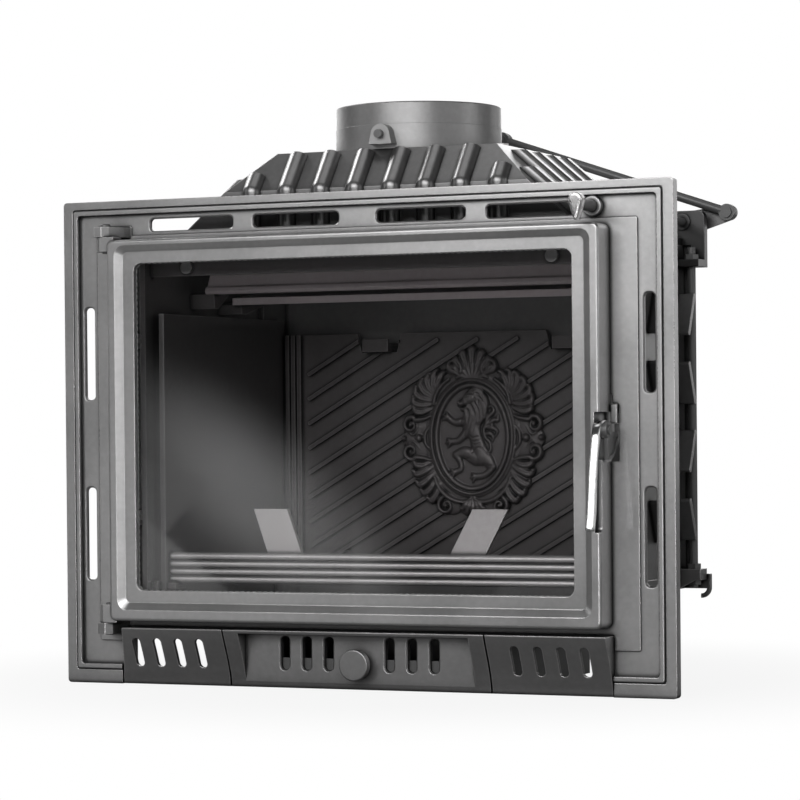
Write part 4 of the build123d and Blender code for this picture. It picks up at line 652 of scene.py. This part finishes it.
def lion_head(relief):
    """A blunt muzzle, cheek, brow, round ear and open jaw."""
    relief.bar([(0, 44), (-5, 42), (-7, 39)], [6.8, 6.6, 5.6], LOW, 9.0)
    relief.bar([(-7, 40), (-11, 38.4), (-13, 37.6)], [5.0, 4.4, 3.9], LOW, 9.0)
    relief.bar([(-5, 34), (-9, 32), (-12, 32.2)], [3.6, 3.0, 2.4], LOW, 7.8)
    relief.dome(-15.4, 39.6, 1.9, 6.0, 9.4)
    relief.dome(2.5, 50.0, 3.0, 5.0, 9.4)
    relief.bar([(-2, 47), (-7, 46), (-10, 43.6)], [1.8, 1.8, 1.2], LOW, 9.6)
    relief.dome(-8.0, 42.6, 1.2, 7.0, 9.6)
    relief.groove([(-17, 35.2), (-12, 34.6), (-7, 35.6)], 1.0, 2.4)
    relief.groove([(-13.5, 41), (-10.5, 40.2), (-9, 38)], 0.7, 0.8)


def lion_folds(relief):
    """Grooves for the haunch, the ribs and the joints."""
    for fold in (
        [(0, -18), (6, -12), (14, -13), (20, -20)], [(-3, -24), (-8, -25), (-13, -24)],
        [(-3, 1), (2, -1), (8, 1)], [(-2, -3), (3, -5), (9, -3)], [(0, -7), (5, -9), (11, -7)],
        [(15, -31), (20, -33), (26, -32)], [(-11, 22), (-13, 17), (-12, 12)],
        [(-7, 6), (-9, 2), (-7, -3)],
    ):
        relief.groove(fold, 0.8, 1.0)


lion_mane(relief)
lion_head(relief)
lion_folds(relief)
print("relief rises to", round(float(relief.rise.max()), 1), "mm")

# %% Cast the relief onto the fireback
BARELY, ROOT = 0.05, 0.2   # lowest relief kept, and how far its rim goes behind the face, in mm
MM = 1000                  # millimetres in a metre


def soften(heights):
    """One pass of a small blur in both directions."""
    padded = np.pad(heights, 1, mode="edge")
    rows = (padded[:-2] + 2 * padded[1:-1] + padded[2:]) / 4
    return (rows[:, :-2] + 2 * rows[:, 1:-1] + rows[:, 2:]) / 4


def cast_relief(relief, name, face_y, middle_z):
    """The relief as a mesh that stands out of the plate towards the door."""
    heights = soften(relief.rise)
    full = heights > BARELY
    cells = full[:-1, :-1] | full[1:, :-1] | full[:-1, 1:] | full[1:, 1:]
    used = np.zeros_like(full)
    used[:-1, :-1] |= cells
    used[1:, :-1] |= cells
    used[:-1, 1:] |= cells
    used[1:, 1:] |= cells
    label = np.cumsum(used.ravel()).reshape(used.shape) - 1
    sunk = np.where(full, heights, -ROOT)
    corners = np.column_stack([
        relief.x[used] / MM, face_y - sunk[used] / MM, middle_z + relief.z[used] / MM,
    ])
    j, i = np.nonzero(cells)
    quads = np.column_stack([label[j, i], label[j, i + 1], label[j + 1, i + 1], label[j + 1, i]])
    mesh = bpy.data.meshes.new(name)
    mesh.from_pydata(corners.tolist(), [], quads.tolist())
    mesh.shade_smooth()
    piece = bpy.data.objects.new(name, mesh)
    bpy.context.scene.collection.objects.link(piece)
    return piece


FIREBACK_FACE, OVAL_MIDDLE = 0.147, 0.263
cartouche = cast_relief(relief, "fireback_cartouche", FIREBACK_FACE, OVAL_MIDDLE)
cartouche.data.materials.append(CARTOUCHE_IRON)
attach(cartouche, "insert")
print("cartouche:", len(cartouche.data.polygons), "faces")

# %% [markdown]
# ## The knitted edge of the glass tape
# The pane is bedded in a flat fibre tape, and its knitted edge peeks out round the
# window as a fine row of slanted stitches. Placing five hundred stitches by hand is out
# of the question, and a bump can't stand proud of an edge. A node graph walks the
# window's outline, sets one small bead on each step and leans every second one the
# other way. Pitch, size and lean are named inputs, so that another tape is three
# numbers away.

# %% A graph that sets stitches along a window
STITCH_FILL = 0.62         # half length of a stitch as a share of the pitch
BEAD_SIDES, BEAD_RINGS, CORNER_STEPS = 8, 5, 8


def stitch_graph(name, wide, tall, radius):
    """Stitches along a rectangle of the given size with round corners, upright in XZ."""
    tree = bpy.data.node_groups.new(name, "GeometryNodeTree")
    inputs = (
        ("Stitch Pitch", "NodeSocketFloat"), ("Stitch Size", "NodeSocketFloat"),
        ("Stitch Lean", "NodeSocketFloat"), ("Yarn", "NodeSocketMaterial"),
    )
    for label, kind in inputs:
        tree.interface.new_socket(label, in_out="INPUT", socket_type=kind)
    tree.interface.new_socket("Stitches", in_out="OUTPUT", socket_type="NodeSocketGeometry")

    def add(kind, settings=None, values=None):
        """One node: its settings first, then the values or links of its sockets."""
        node = tree.nodes.new(kind)
        for label, value in (settings or {}).items():
            setattr(node, label, value)
        for label, value in (values or {}).items():
            if isinstance(value, bpy.types.NodeSocket):
                tree.links.new(value, node.inputs[label])
            else:
                node.inputs[label].default_value = value
        return node

    chosen = add("NodeGroupInput").outputs
    outline = add(
        "GeometryNodeCurvePrimitiveQuadrilateral", {}, {"Width": wide, "Height": tall}
    )
    rounded = add(
        "GeometryNodeFilletCurve", {"mode": "POLY"},
        {"Curve": outline.outputs["Curve"], "Count": CORNER_STEPS, "Radius": radius},
    )
    upright = add(
        "GeometryNodeTransform", {},
        {"Geometry": rounded.outputs["Curve"], "Rotation": (math.radians(90), 0, 0)},
    )
    steps = add(
        "GeometryNodeCurveToPoints", {"mode": "LENGTH"},
        {"Curve": upright.outputs["Geometry"], "Length": chosen["Stitch Pitch"]},
    )
    count = add("GeometryNodeInputIndex")
    side = add("ShaderNodeMath", {"operation": "MODULO"}, {0: count.outputs[0], 1: 2.0})
    swing = add(
        "ShaderNodeMath", {"operation": "MULTIPLY_ADD"}, {0: side.outputs[0], 1: 2.0, 2: -1.0}
    )
    lean = add(
        "ShaderNodeMath", {"operation": "MULTIPLY"},
        {0: swing.outputs[0], 1: chosen["Stitch Lean"]},
    )
    angles = add("ShaderNodeCombineXYZ", {}, {"X": lean.outputs[0]})
    turn = add("FunctionNodeEulerToRotation", {}, {0: angles.outputs[0]})
    placed = add(
        "FunctionNodeRotateRotation", {"rotation_space": "LOCAL"},
        {0: steps.outputs["Rotation"], 1: turn.outputs[0]},
    )
    bead = add(
        "GeometryNodeMeshUVSphere", {},
        {"Segments": BEAD_SIDES, "Rings": BEAD_RINGS, "Radius": 1.0},
    )
    long = add(
        "ShaderNodeMath", {"operation": "MULTIPLY"}, {0: chosen["Stitch Pitch"], 1: STITCH_FILL}
    )
    size = add(
        "ShaderNodeCombineXYZ", {},
        {"X": chosen["Stitch Size"], "Y": chosen["Stitch Size"], "Z": long.outputs[0]},
    )
    stitches = add(
        "GeometryNodeInstanceOnPoints", {},
        {
            "Points": steps.outputs["Points"], "Instance": bead.outputs["Mesh"],
            "Rotation": placed.outputs[0], "Scale": size.outputs[0],
        },
    )
    real = add("GeometryNodeRealizeInstances", {}, {0: stitches.outputs[0]})
    dyed = add(
        "GeometryNodeSetMaterial", {}, {"Geometry": real.outputs[0], "Material": chosen["Yarn"]}
    )
    add("NodeGroupOutput", {}, {"Stitches": dyed.outputs["Geometry"]})
    return tree


def grown(name, tree, values, place):
    """Run a node graph once and keep what it grows as a plain mesh at its place."""
    seed = bpy.data.objects.new(name + "_seed", bpy.data.meshes.new(name + "_seed"))
    bpy.context.scene.collection.objects.link(seed)
    grower = seed.modifiers.new(name, "NODES")
    grower.node_group = tree
    for socket in tree.interface.items_tree:
        if socket.in_out == "INPUT":
            grower[socket.identifier] = values[socket.name]
    depsgraph = bpy.context.evaluated_depsgraph_get()
    mesh = bpy.data.meshes.new_from_object(seed.evaluated_get(depsgraph))
    bpy.data.objects.remove(seed)
    mesh.name = name
    mesh.transform(Matrix.Translation(place))
    piece = bpy.data.objects.new(name, mesh)
    bpy.context.scene.collection.objects.link(piece)
    return piece


print("stitch graph ready")

# %% Knit the edge of the glass tape
def box_of(name):
    """The corners of a CAD node's box."""
    corners = [nodes[name].matrix_world @ Vector(c) for c in nodes[name].bound_box]
    return (
        Vector(min(c[k] for c in corners) for k in range(3)),
        Vector(max(c[k] for c in corners) for k in range(3)),
    )


TAPE_LAP_SIDE, TAPE_LAP_HIGH = 0.0060, 0.0045      # how far the tape lies behind the door
STITCH_PITCH, STITCH_SIZE, STITCH_LEAN = 0.0034, 0.00085, math.radians(24)
STITCH_TUCK = 0.0002                               # middles lie this far behind the window's edge
WINDOW_CORNER = 0.009
tape_near, tape_far = box_of("glass_tape")
window_left, window_right = tape_near.x + TAPE_LAP_SIDE, tape_far.x - TAPE_LAP_SIDE
window_low, window_high = tape_near.z + TAPE_LAP_SIDE, tape_far.z - TAPE_LAP_HIGH
knit = grown(
    "tape_stitches",
    stitch_graph(
        "stitches_on_window",
        window_right - window_left + 2 * STITCH_TUCK,
        window_high - window_low + 2 * STITCH_TUCK,
        WINDOW_CORNER,
    ),
    {"Stitch Pitch": STITCH_PITCH, "Stitch Size": STITCH_SIZE, "Stitch Lean": STITCH_LEAN,
     "Yarn": ROPE},
    Vector((
        (window_left + window_right) / 2, (tape_near.y + tape_far.y) / 2,
        (window_low + window_high) / 2,
    )),
)
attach(knit, "door")
print("tape stitches:", len(knit.data.polygons), "faces")

# %% [markdown]
# ## Threads on the tie rods
# The rods that draw the plates together are threaded where their nuts sit, and the
# threads above the top nuts are in view. A spiral swept round the rod's own radius
# shows them, and it is cheaper than cutting the rod. The sweep is one closed tube per
# rod end.

# %% Thread the rod ends
THREAD_PITCH, THREAD_DEEP = 0.00125, 0.00045
THREAD_ROOT, THREAD_WIDE = 0.3, 0.8     # depth in the rod in thread depths, foot in pitches
STEPS_A_TURN, STEPS_TO_FADE = 20, 10
THREAD_FROM_NUT, THREAD_FROM_END = 0.0006, 0.0008


def thread_turns(middle_x, middle_y, radius, low, high):
    """A helical ridge round a rod, as points and quads of one closed tube."""
    turns = (high - low) / THREAD_PITCH
    count = int(turns * STEPS_A_TURN)
    rows = []
    for k in range(count + 1):
        angle = k / STEPS_A_TURN * 2 * math.pi
        z = low + (high - low) * k / count
        fade = min(1.0, k / STEPS_TO_FADE, (count - k) / STEPS_TO_FADE)
        for out, up in ((-THREAD_ROOT, -0.5), (fade, 0.0), (-THREAD_ROOT, 0.5)):
            reach = radius + out * THREAD_DEEP
            rows.append((
                middle_x + reach * math.cos(angle), middle_y + reach * math.sin(angle),
                z + up * THREAD_PITCH * THREAD_WIDE,
            ))
    quads = []
    for k in range(count):
        for j in range(3):
            a, b = 3 * k + j, 3 * k + (j + 1) % 3
            quads.append((a, b, b + 3, a + 3))
    quads += [(2, 1, 0), (3 * count, 3 * count + 1, 3 * count + 2)]
    return rows, quads


rods_near, rods_far = box_of("tie_rods")
nuts_near, nuts_far = box_of("tie_nuts")
rod_radius = (rods_far.y - rods_near.y) / 2
rod_y = (rods_far.y + rods_near.y) / 2
points, faces = [], []
for rod_x in (rods_near.x + rod_radius, rods_far.x - rod_radius):
    for low, high in (
        (nuts_far.z + THREAD_FROM_NUT, rods_far.z - THREAD_FROM_END),
        (rods_near.z + THREAD_FROM_END, nuts_near.z - THREAD_FROM_NUT),
    ):
        rows, quads = thread_turns(rod_x, rod_y, rod_radius, low, high)
        faces += [tuple(i + len(points) for i in quad) for quad in quads]
        points += rows
thread_mesh = bpy.data.meshes.new("rod_threads")
thread_mesh.from_pydata(points, [], faces)
thread_mesh.materials.append(ZINC)
threads = bpy.data.objects.new("rod_threads", thread_mesh)
bpy.context.scene.collection.objects.link(threads)
bm = bmesh.new()
bm.from_mesh(thread_mesh)
bmesh.ops.recalc_face_normals(bm, faces=bm.faces)
bm.to_mesh(thread_mesh)
bm.free()
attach(threads, "insert")
print("threads:", len(faces), "faces on four rod ends")

# %% [markdown]
# ## The studio
# The photo shows the insert from its right, at the height of its middle, against
# white. A long lens keeps its verticals upright. Satin iron shows whatever stands in
# its mirror direction, so each box is placed for the faces that reflect it:
#
# - the flat front mirrors the left front, where a tall box gives it a soft gradient;
# - the ribs of the hood mirror a box high on the left, and the hood's right flank one
#   on the right;
# - a low, narrow box shines under the lintel into the firebox;
# - boxes behind and beside the insert light what this camera doesn't see, so that the
#   part can be looked at from any side;
# - the pane mirrors only a narrow field on the left, which stays free of boxes. Two
#   fading cards stand there and give the pane its slanting sheen.
#
# One large dome light would be simpler, but it makes all iron the same grey. The white
# of the floor and the world goes to the camera only, so that no extra light falls on
# the iron. The matt part of the floor keeps the insert's shadow, and near the insert
# the floor is a little greyer, a painted shadow.

# %% Camera
LENS_MM, SENSOR_MM, LENS_SHIFT = 138.8, 36.0, 0.075
EYE = Vector((1.357, -3.091, 0.273))
YAW, PITCH, ROLL = math.radians(24.11), math.radians(-0.58), math.radians(-0.53)
ahead = Vector((
    -math.sin(YAW) * math.cos(PITCH), math.cos(YAW) * math.cos(PITCH), math.sin(PITCH)
))
across = ahead.cross(Vector((0, 0, 1))).normalized()
above = across.cross(ahead)
right = across * math.cos(ROLL) + above * math.sin(ROLL)
up = above * math.cos(ROLL) - across * math.sin(ROLL)
lens = bpy.data.cameras.new("studio_camera")
lens.lens, lens.sensor_width, lens.shift_y = LENS_MM, SENSOR_MM, LENS_SHIFT
camera = bpy.data.objects.new("studio_camera", lens)
bpy.context.scene.collection.objects.link(camera)
turn = Matrix((right, up, -ahead)).transposed().to_4x4()
camera.matrix_world = Matrix.Translation(EYE) @ turn
bpy.context.scene.camera = camera
print("camera at", [round(v, 3) for v in EYE])

# %% Lights
MIDDLE = Vector((0.0, 0.0, 0.30))


def soft_box(name, azimuth, distance, height, wide, tall, glow):
    """A rectangular soft light that faces the insert. Azimuth 0 is straight in front.

    The glow is the brightness of its face, so that a box keeps its look in the iron
    when its size changes.
    """
    lamp = bpy.data.lights.new(name, "AREA")
    lamp.shape, lamp.size, lamp.size_y = "RECTANGLE", wide, tall
    lamp.energy = glow * math.pi * wide * tall
    holder = bpy.data.objects.new(name, lamp)
    bpy.context.scene.collection.objects.link(holder)
    turn = math.radians(azimuth)
    holder.location = (distance * math.sin(turn), -distance * math.cos(turn), height)
    holder.rotation_euler = (MIDDLE - holder.location).to_track_quat("-Z", "Y").to_euler()


SOFT_BOXES = (
    # name, azimuth, distance, height, wide, tall, glow
    ("key_box", -5, 3.0, 1.62, 2.4, 1.5, 4.4),
    ("left_front_box", -62, 2.8, 0.95, 0.5, 1.4, 1.7),
    ("left_low_box", -112, 2.4, 0.45, 1.2, 0.9, 0.9),
    ("rib_box", -104, 1.95, 2.05, 0.9, 0.8, 7.0),
    ("right_box", 66, 2.4, 0.7, 0.4, 1.4, 1.6),
    ("back_right_box", 156, 2.4, 0.9, 0.6, 1.4, 1.6),
    ("camera_box", 25, 3.4, 1.5, 1.0, 1.2, 4.4),
    ("hearth_box", 14, 2.6, 0.12, 0.8, 0.22, 13.0),
    ("top_box", 0, 0.2, 2.5, 1.6, 1.0, 0.9),
    ("back_box", 200, 3.0, 1.4, 2.4, 1.6, 3.4),
    ("right_side_box", 98, 2.8, 0.9, 1.2, 1.2, 1.9),
    ("left_side_box", -128, 2.8, 1.0, 1.2, 1.2, 2.0),
)
for box in SOFT_BOXES:
    soft_box(*box)
print(len(SOFT_BOXES), "soft boxes")

# %% Sheen cards
def flat_sheet(name, corners, material):
    """One rectangle of the studio, which isn't part of the insert."""
    mesh = bpy.data.meshes.new(name)
    mesh.from_pydata(corners, [], [(0, 1, 2, 3)])
    mesh.materials.append(material)
    sheet = bpy.data.objects.new(name, mesh)
    bpy.context.scene.collection.objects.link(sheet)
    return sheet


def glow_card(name, place, wide, tall, glow, lean=0.0):
    """A card that fades out from its middle, for a soft sheen in the pane."""
    finish = Finish(name)
    scaled = finish.node(
        "VectorMath", {"operation": "DIVIDE"}, {0: finish.place(), 1: (wide / 2, 1, tall / 2)}
    )
    reach = finish.wire(
        finish.node("VectorMath", {"operation": "LENGTH"}, {0: finish.wire(scaled)}), "Value"
    )
    fade = finish.wire(finish.node(
        "MapRange", {"interpolation_type": "SMOOTHERSTEP"},
        {"Value": reach, "From Min": 0.0, "From Max": 1.0, "To Min": glow, "To Max": 0.0},
    ))
    lit = finish.node("Emission", {}, {"Color": grey(1.0), "Strength": fade})
    w, t = wide / 2, tall / 2
    card = flat_sheet(
        name, [(-w, 0, -t), (w, 0, -t), (w, 0, t), (-w, 0, t)], finish.end(finish.wire(lit))
    )
    card.location, card.rotation_euler = place, (0, lean, 0)
    card.visible_camera = card.visible_diffuse = card.visible_shadow = False


glow_card("sheen_low", (-0.99, -1.6, 0.11), 0.66, 0.66, 1.5)
glow_card("sheen_beam", (-0.82, -1.6, 0.165), 0.80, 0.30, 2.6, math.radians(38))
print("two sheen cards")

# %% Floor and backdrop
FLOOR_WIDE = 18.0
SHADOW_FROM, SHADOW_TO = 0.30, 0.75        # the painted shadow round the insert fades out between these distances
FLOOR_MATT = 0.30                          # what the iron mirrors of the floor
GLOW_NEAR = 0.90                           # share that glows by the insert; the rest is matt, takes the real shadow and paints the floor greyer
WORLD_FOR_CAMERA, WORLD_FOR_IRON = 1.0, 0.05


def studio_white(name):
    """White to the camera, greyer near the insert as a painted shadow, with its real shadow kept
    faintly. Dull grey to the iron.
    """
    finish = Finish(name)
    path = finish.node("LightPath")
    seen = finish.wire(path, "Is Camera Ray")
    reach = finish.wire(
        finish.node("VectorMath", {"operation": "LENGTH"}, {0: finish.place()}), "Value"
    )
    away = finish.wire(finish.node(
        "MapRange", {"interpolation_type": "SMOOTHSTEP"},
        {
            "Value": reach, "From Min": SHADOW_FROM, "From Max": SHADOW_TO,
            "To Min": GLOW_NEAR, "To Max": 1.0,
        },
    ))
    matt = finish.node("BsdfDiffuse", {}, {"Color": grey(FLOOR_MATT)})
    glow = finish.node("Emission", {}, {"Color": grey(1.0), "Strength": 1.0})
    made = finish.node("MixShader", {}, {
        0: seen * away, 1: finish.wire(matt), 2: finish.wire(glow),
    })
    return finish.end(finish.wire(made))


half = FLOOR_WIDE / 2
floor = flat_sheet(
    "studio_floor", [(-half, -half, 0), (half, -half, 0), (half, half, 0), (-half, half, 0)],
    studio_white("floor_white"),
)

world = bpy.data.worlds.new("studio_world")
bpy.context.scene.world = world
world.use_nodes = True
sky = world.node_tree
sky.nodes.clear()
path = sky.nodes.new("ShaderNodeLightPath")
strength = sky.nodes.new("ShaderNodeMapRange")
strength.inputs["To Min"].default_value = WORLD_FOR_IRON
strength.inputs["To Max"].default_value = WORLD_FOR_CAMERA
white = sky.nodes.new("ShaderNodeBackground")
white.inputs["Color"].default_value = (1, 1, 1, 1)
end = sky.nodes.new("ShaderNodeOutputWorld")
sky.links.new(path.outputs["Is Camera Ray"], strength.inputs["Value"])
sky.links.new(strength.outputs["Result"], white.inputs["Strength"])
sky.links.new(white.outputs["Background"], end.inputs["Surface"])
bpy.context.scene.view_settings.view_transform = "Standard"
print("floor and world ready")
